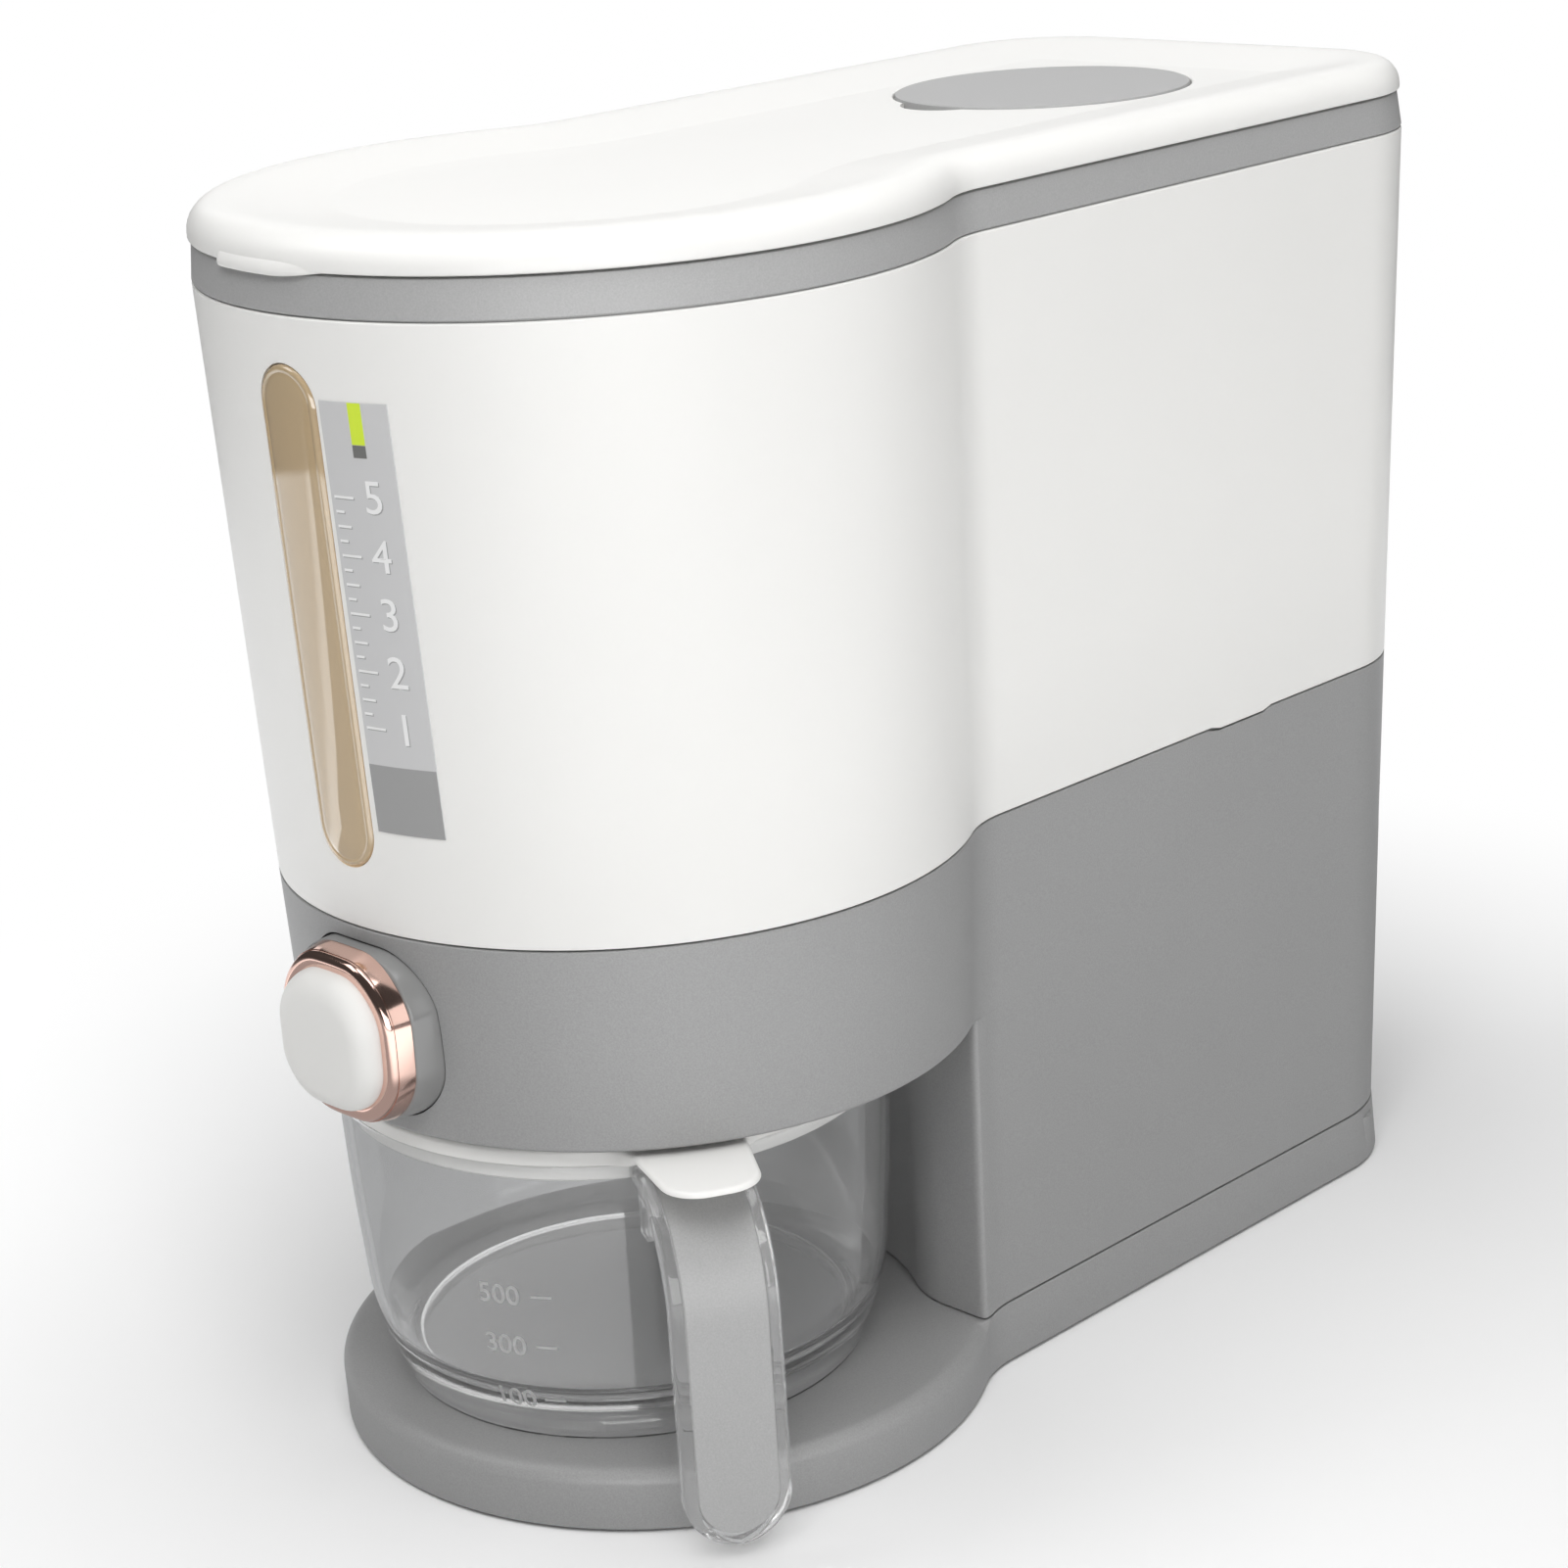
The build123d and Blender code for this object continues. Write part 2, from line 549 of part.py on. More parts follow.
lid += scoop_floor - upright(well_radius + 1.0, hopper_rim, above_all, 0, cap_y)
scoop = upright(scoop_radius, lid_panel - scoop_depth, above_all, scoop_x, scoop_y)
lid -= scoop - upright(well_radius + thin_wall, hopper_rim, above_all, 0, cap_y)
save(lid, "lid")

# Lid seal: a soft ring in the plug's groove
seal = outline(collar_plan, throat_plan_inset + 0.1) - outline(collar_plan, plug_inset + 0.9)
save(extrude(Pos(0, 0, groove_low) * seal, groove_high - groove_low), "lid_seal")

# Absorber basket: a slotted cup that hangs in the lid's well
basket_top = lid_panel
basket = upright(well_radius - 0.15, basket_top - basket_depth, basket_top, 0, cap_y)
basket += upright(cap_radius - 1.5, basket_top - 1.2, basket_top, 0, cap_y)
basket -= upright(well_radius - 1.8, basket_top - basket_depth + 1.8, basket_top + 1, 0, cap_y)
slot_reach = well_radius - 7
for row in range(-4, 5):
    offset = 6.0 * row
    half = math.sqrt(slot_reach**2 - offset**2)
    basket -= Pos(offset, cap_y, basket_top - basket_depth + 1) * Box(2.0, 2 * half, 4)
save(basket, "absorber_basket")

# Absorber cap: a flat grey disk with a ring that pushes into the basket
cap = chamfer(upright(cap_radius, basket_top, cap_top, 0, cap_y).edges().group_by(Axis.Z)[-1], 0.6)
cap_ring = upright(well_radius - 2.1, basket_top - 5, basket_top + 0.5, 0, cap_y)
cap_ring -= upright(well_radius - 3.7, basket_top - 6, basket_top + 0.2, 0, cap_y)
save(cap + cap_ring, "absorber_cap")

# Measuring cup: clear bowl with a foot ring, and a strap handle moulded to its rim
bowl_shape = [(0.802, 0.01), (0.865, 0.045), (0.921, 0.16), (0.952, 0.29), (0.967, 0.44), (0.983, 0.63),
              (0.995, 0.85), (1.0, 1.0)]
bowl_side = [(cup_radius * wide, base_top + cup_height * tall) for wide, tall in bowl_shape]
cup_floor = base_top + 2.9
foot_ring = bowl_side[0][0] - 1.0
foot_ring_width = 2.4
floor_under = base_top + 1.2
inner_side = [(radius - cup_wall, height) for radius, height in bowl_side[:2:-1]]
inner_side += [(bowl_side[2][0] - cup_wall - 0.3, bowl_side[2][1] + 1.0),
               (bowl_side[1][0] - cup_wall - 1.0, bowl_side[1][1] + 2.0), (foot_ring - 2.0, cup_floor)]
half_section = [
    Line((0, floor_under), (foot_ring - foot_ring_width - 0.6, floor_under)),
    Line((foot_ring - foot_ring_width - 0.6, floor_under), (foot_ring - foot_ring_width, base_top)),
    Line((foot_ring - foot_ring_width, base_top), (foot_ring, base_top)),
    Line((foot_ring, base_top), bowl_side[0]),
    Spline(*bowl_side),
    Line(bowl_side[-1], inner_side[0]),
    Spline(*inner_side),
    Line(inner_side[-1], (0, cup_floor)),
    Line((0, cup_floor), (0, floor_under)),
]
cup_place = Pos(0, cup_y, 0)
bowl = revolve(Plane.XZ * make_face(half_section), Axis.Z)
inner_space = revolve(Plane.XZ * make_face([
    Spline(*inner_side), Line(inner_side[-1], (0, cup_floor)), Line((0, cup_floor), (0, cup_rim)),
    Line((0, cup_rim), inner_side[0])]), Axis.Z)
handle_turn = Rot(0, 0, handle_angle - 90)
bend = handle_reach - handle_radius
bend_z = cup_rim - 0.7 - handle_radius
inside_rim = cup_radius - 6.1


def strap_profile(outset, depth, end, start=inside_rim):
    """Side view of the strap: level at the rim, one large bend, then straight down."""
    outer, inner = handle_radius + outset, handle_radius + outset - depth
    outer_at, inner_at = outer * math.sqrt(0.5), inner * math.sqrt(0.5)
    edges = [
        Line((start, bend_z + outer), (bend, bend_z + outer)),
        ThreePointArc((bend, bend_z + outer), (bend + outer_at, bend_z + outer_at), (bend + outer, bend_z)),
        Line((bend + outer, bend_z), (bend + outer, end)),
        Line((bend + outer, end), (bend + inner, end)),
        Line((bend + inner, end), (bend + inner, bend_z)),
        ThreePointArc((bend + inner, bend_z), (bend + inner_at, bend_z + inner_at), (bend, bend_z + inner)),
        Line((bend, bend_z + inner), (start, bend_z + inner)),
        Line((start, bend_z + inner), (start, bend_z + outer)),
    ]
    return Plane.XZ * make_face(edges)


def rounded_drop(width, end):
    """Front view of the strap with its round lower end, as a long prism."""
    middle = end + width / 2
    face = Pos(0, (middle + above_all) / 2) * Rectangle(width, above_all - middle)
    face += Pos(0, middle) * Circle(width / 2)
    return extrude(Plane.YZ * face, 2 * handle_reach)


strap = extrude(strap_profile(0.0, handle_thick, handle_end), handle_width / 2, both=True)
strap &= rounded_drop(handle_width, handle_end)
inlay_start = bend + 7.0
inlay_pocket = extrude(strap_profile(0.5, inlay_thick + 0.5, handle_end), inlay_width / 2, both=True)
inlay_pocket &= rounded_drop(inlay_width, handle_end + (handle_width - inlay_width) / 2)
before_inlay = block(0, inlay_start, -20, 20, handle_end, above_all)
inlay_pocket -= before_inlay
strap -= inlay_pocket
lightening = extrude(strap_profile(-inlay_thick - 1.2, 6, handle_end), (inlay_width - 2) / 2, both=True)
lightening &= rounded_drop(inlay_width - 2, handle_end + (handle_width - inlay_width + 2) / 2)
strap -= lightening - block(0, bend + 10, -20, 20, handle_end, above_all)
web_low, web_high, web_reach = cup_rim - 19.2, cup_rim - 7.2, cup_radius + 13.9
root = make_face([
    Line((inside_rim, cup_rim - 2), (inside_rim, web_low)),
    Line((inside_rim, web_low), (cup_radius, web_low)),
    ThreePointArc((cup_radius, web_low), (cup_radius + 4.5, web_low + 8), (web_reach, web_high)),
    Line((web_reach, web_high), (web_reach, web_high + 0.4)),
    Line((web_reach, web_high + 0.4), (inside_rim, cup_rim - 2))])
root_web = extrude(Plane.XZ * root, 1.3, both=True)
webs = (Pos(0, -9, 0) * root_web) + (Pos(0, 9, 0) * root_web)
handle = handle_turn * (strap + webs)
cup = bowl + (handle - inner_space)
save(cup_place * cup, "measuring_cup")

# Handle inlay: the flat grey strip set into the strap's outer face
inlay = extrude(strap_profile(0.0, inlay_thick, handle_end), inlay_width / 2, both=True)
inlay &= rounded_drop(inlay_width, handle_end + (handle_width - inlay_width) / 2)
inlay -= before_inlay
save(cup_place * handle_turn * inlay, "handle_inlay")

# Cup lid: a white ring with a wide opening under the chute and a tab over the handle
ring_out = cup_radius - cup_wall - 0.5
plug_low = cup_rim - 4.8
ring = upright(cup_radius + 0.7, cup_rim, cup_lid_top) + upright(ring_out, plug_low, cup_rim)
ring = fillet(ring.edges().group_by(Axis.Z)[-1], 1.2)
ring -= upright(ring_out - thin_wall, plug_low - 1, cup_rim + 1.6)
tip = tab_reach - tab_round
tab_side = [(inside_rim, 14.5), (cup_radius + 3.9, 13.0), (tip + 1.3, tab_round - 0.2)]
tab_face = make_face(Polyline(*[(x, -y) for x, y in tab_side], *tab_side[::-1], close=True))
tab_face += Pos(tip, 0) * Circle(tab_round)
tab = extrude(Pos(0, 0, cup_rim + 0.5) * tab_face, cup_lid_height - 0.8)
ring += handle_turn * (tab - upright(inside_rim + 2, plug_low, above_all))
ring -= upright(cup_lid_hole, plug_low, above_all)
save(cup_place * ring, "cup_lid")
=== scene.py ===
import math

import bmesh
import bpy
import numpy as np
from mathutils import Matrix, Vector


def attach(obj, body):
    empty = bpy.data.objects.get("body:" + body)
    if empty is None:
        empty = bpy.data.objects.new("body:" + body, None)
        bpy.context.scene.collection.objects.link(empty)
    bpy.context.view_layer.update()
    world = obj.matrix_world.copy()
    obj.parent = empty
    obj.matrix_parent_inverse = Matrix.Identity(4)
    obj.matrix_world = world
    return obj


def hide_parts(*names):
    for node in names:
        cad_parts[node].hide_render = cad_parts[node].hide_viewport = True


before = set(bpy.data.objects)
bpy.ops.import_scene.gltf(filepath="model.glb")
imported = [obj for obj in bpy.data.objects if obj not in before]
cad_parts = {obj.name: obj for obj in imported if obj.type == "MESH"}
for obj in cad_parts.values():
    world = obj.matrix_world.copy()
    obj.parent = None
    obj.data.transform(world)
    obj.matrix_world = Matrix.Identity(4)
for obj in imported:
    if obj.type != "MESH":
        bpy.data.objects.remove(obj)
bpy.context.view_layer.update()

# Base plate: the grey moulded tray that everything stands on, turned upside down.
# Satin plastic with a very fine grain, a soft edge where it shows in front of the
# column, and a sharp one where the column stands on it.
MM = 0.001
JOIN = 0.004
SHARP = 32.0
WALL = 2.6
WAIST_HOLLOW = 27.0
REAR_CORNER = 32.0
BASE_PLAN = (80.0, 0.0, 64.9, 227.4)
FOOT_PLAN = (80.2, 0.0, 63.9, 226.9)
BASE_LOW = 1.0
BASE_TOP = 15.7
TRAY_INSIDE = 12.8
COLUMN_FOOT = 16.1
BASE_EDGE = 3.6
BAY_FACE = 44.5


def stack(*columns):
    """Points from their coordinates, each an array or one value for all of them."""
    return np.column_stack(np.broadcast_arrays(*columns))


def arc(angles, radius=1.0, x=0.0, y=0.0):
    """Points on a circle about x, y, at angles in radians."""
    return stack(x + radius * np.cos(angles), y + radius * np.sin(angles))


def quarter_turn(steps):
    """Angles from 0 to a right angle."""
    return np.linspace(0, math.pi / 2, steps)


def whole(half):
    """A full plan loop from its right half."""
    return np.vstack([half, half[-2:0:-1] * [-1.0, 1.0]])


def outline(plan, inset=0.0):
    """Plan loop, counter-clockwise from the middle of the front, in mm.

    Half of it is a front arc about (0, centre), a hollow arc tangent to it and to the
    straight side, the side, a rear corner arc and half the back. The other half mirrors it."""
    radius, centre, side, back = plan
    radius, side, back = radius - inset, side - inset, back - inset
    rear, inner = max(REAR_CORNER - inset, 1.0), WAIST_HOLLOW + inset
    reach, blend_x = radius + inner, side + inner
    blend_y = centre + math.sqrt(reach**2 - blend_x**2)
    turn = math.atan2(blend_y - centre, blend_x)
    half = np.vstack([arc(np.linspace(-math.pi / 2, turn, 110), radius, 0.0, centre),
                      arc(np.linspace(turn + math.pi, math.pi, 16)[1:], inner, blend_x, blend_y),
                      stack(side, np.linspace(blend_y, back - rear, 42)[1:-1]),
                      arc(quarter_turn(22), rear, side - rear, back - rear),
                      stack(np.linspace(side - rear, 0, 12)[1:], back)])
    half[0, 0] = 0.0
    return whole(half)


def between(height, low, low_plan, high, high_plan):
    """Plan sizes at a height, along a straight line between two levels."""
    share = (height - low) / (high - low)
    return tuple(a + (b - a) * share for a, b in zip(low_plan, high_plan))


def rounded(corners, radii, steps=6):
    """Closed profile through the corners, each turned by an arc of its own radius.

    The arc starts radius * tan(turn / 2) before the corner, and its points are the corner's
    centre plus the radius, turned evenly from one tangent point to the other."""
    corners = np.asarray(corners, float)
    points = []
    for here, before, after, radius in zip(corners, np.roll(corners, 1, 0), np.roll(corners, -1, 0), radii):
        into = (here - before) / np.linalg.norm(here - before)
        out = (after - here) / np.linalg.norm(after - here)
        turn = math.atan2(into[0] * out[1] - into[1] * out[0], into @ out)
        if radius == 0 or abs(turn) < 1e-6:
            points.append(here[None])
            continue
        start = here - into * radius * math.tan(abs(turn) / 2)
        centre = start + math.copysign(radius, turn) * np.array([-into[1], into[0]])
        angle = math.atan2(start[1] - centre[1], start[0] - centre[0]) + np.linspace(0, turn, steps)
        points.append(arc(angle, radius, *centre))
    return np.concatenate(points)


def at_height(loop, height):
    """A plan loop as points at one height, or at a height for each point."""
    return np.column_stack([loop, np.broadcast_to(height, len(loop))])


def quads(index, wrap_rows=False, wrap_columns=False):
    """Quads between neighbouring rows and columns of a grid of point numbers."""
    high = np.roll(index, -1, 0)
    faces = np.stack([index, np.roll(index, -1, 1), np.roll(high, -1, 1), high], -1)
    rows, columns = index.shape
    return faces[:rows if wrap_rows else rows - 1, :columns if wrap_columns else columns - 1].reshape(-1, 4)


def carried(rows, wrap_rows=False, caps=(False, False)):
    """Surface through a list of closed loops, as points and faces, with flat caps if wanted."""
    rows = np.asarray(rows, float)
    index = np.arange(rows.shape[0] * rows.shape[1]).reshape(rows.shape[:2])
    faces = quads(index, wrap_rows, True).tolist()
    if caps[0]:
        faces.append(index[0, ::-1].tolist())
    if caps[1]:
        faces.append(index[-1].tolist())
    return rows.reshape(-1, 3), faces


def solid(rows):
    """A closed surface through loops, with a flat cap at each end."""
    return carried(rows, caps=(True, True))


def ring(rows):
    """A closed surface through loops, whose last loop joins its first."""
    return carried(rows, wrap_rows=True)


def prism(loop, low, high):
    """An upright prism on a plan loop."""
    return solid([at_height(loop, low), at_height(loop, high)])


def surface_mesh(name, parts, sharp):
    """One mesh from surfaces in mm: merged, pointing outwards, and smooth up to the sharp angle."""
    points, faces, start = [], [], 0
    for part_points, part_faces in parts:
        points.append(part_points)
        faces += [[index + start for index in face] for face in part_faces]
        start += len(part_points)
    mesh = bpy.data.meshes.new(name)
    mesh.from_pydata((np.concatenate(points) * MM).tolist(), [], faces)
    shape = bmesh.new()
    shape.from_mesh(mesh)
    bmesh.ops.remove_doubles(shape, verts=shape.verts, dist=JOIN * MM)
    bmesh.ops.dissolve_degenerate(shape, edges=shape.edges, dist=JOIN * MM / 2)
    bmesh.ops.recalc_face_normals(shape, faces=shape.faces)
    shape.to_mesh(mesh)
    shape.free()
    mesh.shade_smooth()
    mesh.set_sharp_from_angle(angle=math.radians(sharp))
    return mesh


def placed(name, data):
    """A new object with the data, linked to the scene."""
    thing = bpy.data.objects.new(name, data)
    bpy.context.scene.collection.objects.link(thing)
    return thing


def moulding(name, parts, material, body, replaced=(), sharp=SHARP):
    """A finished piece: its mesh, material, body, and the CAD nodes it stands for."""
    mesh = surface_mesh(name, parts, sharp)
    mesh.materials.append(material)
    piece = placed(name, mesh)
    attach(piece, body)
    if replaced:
        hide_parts(*replaced)
    return piece


def cut_away(piece, cutter_parts, sharp=SHARP):
    """Takes closed cutters out of a piece with an applied boolean, and renews its shading."""
    cutter = placed("cutter", surface_mesh("cutter", cutter_parts, SHARP))
    step = piece.modifiers.new("opening", "BOOLEAN")
    step.operation, step.solver, step.object = "DIFFERENCE", "EXACT", cutter
    bpy.context.view_layer.update()
    shaped = bpy.data.meshes.new_from_object(piece.evaluated_get(bpy.context.evaluated_depsgraph_get()))
    piece.modifiers.clear()
    old = piece.data
    piece.data = shaped
    bpy.data.meshes.remove(old)
    bpy.data.objects.remove(cutter)
    shaped.name = piece.name
    shaped.shade_smooth()
    shaped.set_sharp_from_angle(angle=math.radians(sharp))


def fill(tree, node, inputs):
    """Gives each named input of a node a value, or links it to an output."""
    for name, value in inputs.items():
        if isinstance(value, bpy.types.NodeSocket):
            tree.links.new(value, node.inputs[name])
        else:
            node.inputs[name].default_value = value


def shade(tree, kind, inputs=None, output=0, **settings):
    """A new shader node with its settings and inputs: gives back one of its outputs."""
    node = tree.nodes.new("ShaderNode" + kind)
    for name, value in settings.items():
        setattr(node, name, value)
    fill(tree, node, inputs or {})
    return node.outputs[output]


def maths(tree, operation, *values):
    """A math node's output."""
    return shade(tree, "Math", dict(enumerate(values)), operation=operation)


def ramp(tree, value, start, end, low, high, kind="LINEAR"):
    """A value's range from start to end, mapped to low and high."""
    limits = {"Value": value, "From Min": start, "From Max": end, "To Min": low, "To Max": high}
    return shade(tree, "MapRange", limits, interpolation_type=kind)


def mixed(tree, share, first, second):
    """The first shader, and the second where the share is 1."""
    return shade(tree, "MixShader", {"Fac": share, 1: first, 2: second})


def ray_kinds(tree):
    """1 for rays straight from the camera or through clear plastic, and 1 for mirrored ones."""
    path = tree.nodes.new("ShaderNodeLightPath").outputs
    return maths(tree, "MAXIMUM", path["Is Camera Ray"], path["Is Transmission Ray"]), path["Is Glossy Ray"]


def new_material(name, **sockets):
    """A material, its node tree and its Principled shader, with the named sockets set."""
    material = bpy.data.materials.new(name)
    material.use_nodes = True
    tree, shader = material.node_tree, material.node_tree.nodes["Principled BSDF"]
    fill(tree, shader, {socket.replace("_", " "): value for socket, value in sockets.items()})
    return material, tree, shader


def grain_group():
    """Moulded plastic's surface: a fine grain in its relief and gloss, faint slow blotches of tone,
    and a fine speckle of tone from the same grain."""
    tree = bpy.data.node_groups.new("moulded_grain", "ShaderNodeTree")
    for label, kind, value in (("Tone", "Color", (0.5, 0.5, 0.5, 1)), ("Gloss", "Float", 0.4),
                               ("Grain Size", "Float", 0.6), ("Grain Depth", "Float", 0.3),
                               ("Blotch", "Float", 0.03), ("Speckle", "Float", 0.0)):
        socket = tree.interface.new_socket(label, in_out="INPUT", socket_type="NodeSocket" + kind)
        socket.default_value = value
    for label, kind in (("Color", "Color"), ("Roughness", "Float"), ("Normal", "Vector")):
        tree.interface.new_socket(label, in_out="OUTPUT", socket_type="NodeSocket" + kind)
    given = tree.nodes.new("NodeGroupInput").outputs
    place = shade(tree, "TexCoord", output="Object")
    scale = maths(tree, "DIVIDE", 1000.0, given["Grain Size"])
    fine = shade(tree, "TexNoise", {"Vector": place, "Scale": scale, "Detail": 3.0}, "Fac")
    slow = shade(tree, "TexNoise", {"Vector": place, "Scale": 22.0, "Detail": 2.0}, "Fac")
    blotches = maths(tree, "MULTIPLY", ramp(tree, slow, 0.0, 1.0, -1.0, 1.0), given["Blotch"])
    dots = maths(tree, "MULTIPLY_ADD", ramp(tree, fine, 0.0, 1.0, -1.0, 1.0), given["Speckle"], blotches)
    bright = maths(tree, "ADD", 1.0, dots)
    tinted = shade(tree, "VectorMath", {0: given["Tone"], "Scale": bright}, operation="SCALE")
    gloss = maths(tree, "MULTIPLY_ADD", fine, 0.08, given["Gloss"])
    relief = shade(tree, "Bump", {"Distance": 0.00004, "Strength": given["Grain Depth"], "Height": fine})
    fill(tree, tree.nodes.new("NodeGroupOutput"), {"Color": tinted, "Roughness": gloss, "Normal": relief})
    return tree


GRAIN = grain_group()


def plastic(name, tone, gloss, grain_size=0.6, grain_depth=0.3, blotch=0.02, speckle=0.0, **sockets):
    """Opaque moulded plastic: the grain group feeding one Principled shader."""
    material, tree, shader = new_material(name, **sockets)
    grain = tree.nodes.new("ShaderNodeGroup")
    grain.node_tree = GRAIN
    fill(tree, grain, {"Tone": (*tone, 1), "Gloss": gloss, "Grain Size": grain_size,
                       "Grain Depth": grain_depth, "Blotch": blotch, "Speckle": speckle})
    fill(tree, shader, {"Base Color": grain.outputs["Color"], "Roughness": grain.outputs["Roughness"],
                        "Normal": grain.outputs["Normal"]})
    return material


GREY_BODY = plastic("satin_grey_plastic", (0.312, 0.312, 0.312), 0.44, 0.40, 0.9, 0.03, 0.22,
                    Specular_IOR_Level=0.9)


def smooth_step(values, start, end):
    """0 before start, 1 after end, and the cubic 3t^2 - 2t^3 between."""
    t = np.clip((values - start) / (end - start), 0, 1)
    return t * t * (3 - 2 * t)


def base_loop(height, inset=0.0):
    """The base plate's plan loop at a height."""
    return outline(between(height, BASE_LOW, BASE_PLAN, BASE_TOP, FOOT_PLAN), inset)


def base_rows():
    """The base plate's loops: out along the underside, up the wall, round its top edge, then in.

    The top edge's radius is full in front of the column, and shrinks to almost nothing
    where the column's corner stands on it."""
    depth = outline(BASE_PLAN)[:, 1]
    edge = BASE_EDGE - (BASE_EDGE - 0.3) * smooth_step(depth, BAY_FACE - 2.5, BAY_FACE + 0.5)
    rows = [at_height(base_loop(height, inset), height) for inset, height in (
        (WALL, TRAY_INSIDE), (WALL, BASE_LOW + 0.3), (WALL - 0.3, BASE_LOW), (0.4, BASE_LOW),
        (0.1, BASE_LOW + 0.1), (0.0, BASE_LOW + 0.4))]
    loop = base_loop(BASE_TOP - BASE_EDGE / 2)
    inward = base_loop(BASE_TOP - BASE_EDGE / 2, 1.0) - loop
    for angle in quarter_turn(9):
        pull = edge * (1 - math.cos(angle))
        rows.append(at_height(loop + inward * pull[:, None], BASE_TOP - edge * (1 - math.sin(angle))))
    rows.append(at_height(outline(FOOT_PLAN, BASE_EDGE + 1.5), BASE_TOP))
    return rows


moulding("base_plate_tray", [solid(base_rows())], GREY_BODY, "dispenser", ("base_plate",))

# Below the tray: low stiffening ribs, pads with a recess for each rubber foot, and bosses
# for the screws that hold the column. All are one moulding with the tray.
RIB_LOW = 10.0
UNDER_TRAY = 13.0
RIBS_ACROSS = (-20, 50, 120, 190)
RIBS_ALONG = (-24, 24)
FOOT_PLACES = ((-46.0, -46.0), (46.0, -46.0), (-38.0, 203.0), (38.0, 203.0))
SCREW_PLACES = ((-57.0, 68.0), (57.0, 68.0), (-57.0, 204.0), (57.0, 204.0))
FOOT_PAD = ((0.3, 3.4), (7.2, 3.4), (7.2, 1.8), (7.4, 1.6), (9.3, 1.6), (9.5, 1.8), (9.5, UNDER_TRAY))
SCREW_BOSS = ((2.0, UNDER_TRAY), (2.0, 8.0), (4.2, 8.0), (4.2, 2.7), (4.4, 2.5), (6.3, 2.5), (6.5, 2.7),
    (6.5, UNDER_TRAY))


def turned(x, y, section, count=128):
    """A turned shape: radius and height pairs carried round an upright axis."""
    circle = arc(np.linspace(0, 2 * math.pi, count, endpoint=False))
    return [at_height(circle * radius + [x, y], height) for radius, height in section]


def bar(x0, x1, y0, y1):
    """A rib of the tray between limits."""
    return prism(np.array([(x0, y0), (x1, y0), (x1, y1), (x0, y1)], float), RIB_LOW, UNDER_TRAY)


def inner_half_width(y):
    """Half the room inside the tray's wall at a depth: the front circle, or the straight sides."""
    if y > BAY_FACE:
        return BASE_PLAN[2] - WALL
    return math.sqrt((BASE_PLAN[0] - WALL)**2 - y**2)


under_tray = [bar(-inner_half_width(y), inner_half_width(y), y - 1.0, y + 1.0) for y in RIBS_ACROSS]
under_tray += [bar(x - 1.0, x + 1.0, -73.0, BASE_PLAN[3] - WALL) for x in RIBS_ALONG]
under_tray += [solid(turned(x, y, FOOT_PAD)) for x, y in FOOT_PLACES]
under_tray += [solid(turned(x, y, SCREW_BOSS)) for x, y in SCREW_PLACES]
moulding("base_plate_ribs", under_tray, GREY_BODY, "dispenser")

# Lower shell: the grey column behind the cup and the overhang above it, one hollow
# moulding. The bay for the cup is a round hollow with flats beside it.
BAY_PLAN = (80.6, 0.0, 65.9, 228.6)
SPLIT_PLAN = (82.7, 0.0, 67.3, 229.6)
BAY_TOP = 95.0
SPLIT = 143.6
SEAM = 0.5
SEAM_DEEP = 1.7
CUP_Y = -10.5
BAY_RADIUS = 71.0
BAY_ROUND = 24.0
COLUMN_EDGE = 3.2
LUG_SIDE = (136.5, 157.5)
LUG_OUTSIDE = 60.0
LUG_DROP = 0.9
FRONT_POINTS = 150
REAR_POINTS = 120
CHUTE_Y = -10.0
CHUTE_HALF = (22.5, 11.5)
CHUTE_CORNER = 5.0


def evenly(path, count):
    """The path's points respaced evenly along its length, keeping both ends."""
    path = np.asarray(path, float)
    length = np.concatenate([[0], np.cumsum(np.linalg.norm(np.diff(path, axis=0), axis=1))])
    return stack(*(np.interp(np.linspace(0, length[-1], count), length, column) for column in path.T))


def split_half(plan, inset):
    """The right half cut at the bay's face: the front part and the rear part."""
    loop = outline(plan, inset)
    half = loop[:len(loop) // 2 + 1]
    face = BAY_FACE + inset
    index = np.argmax(half[:, 1] > face)
    share = (face - half[index - 1, 1]) / (half[index, 1] - half[index - 1, 1])
    corner = half[index - 1] + (half[index] - half[index - 1]) * share
    return np.vstack([half[:index], corner]), np.vstack([corner, half[index:]])


def spaced(front, rear):
    """A whole loop whose points are shared out between its front and its rear part."""
    return whole(np.vstack([evenly(front, FRONT_POINTS), evenly(rear, REAR_POINTS)[1:]]))


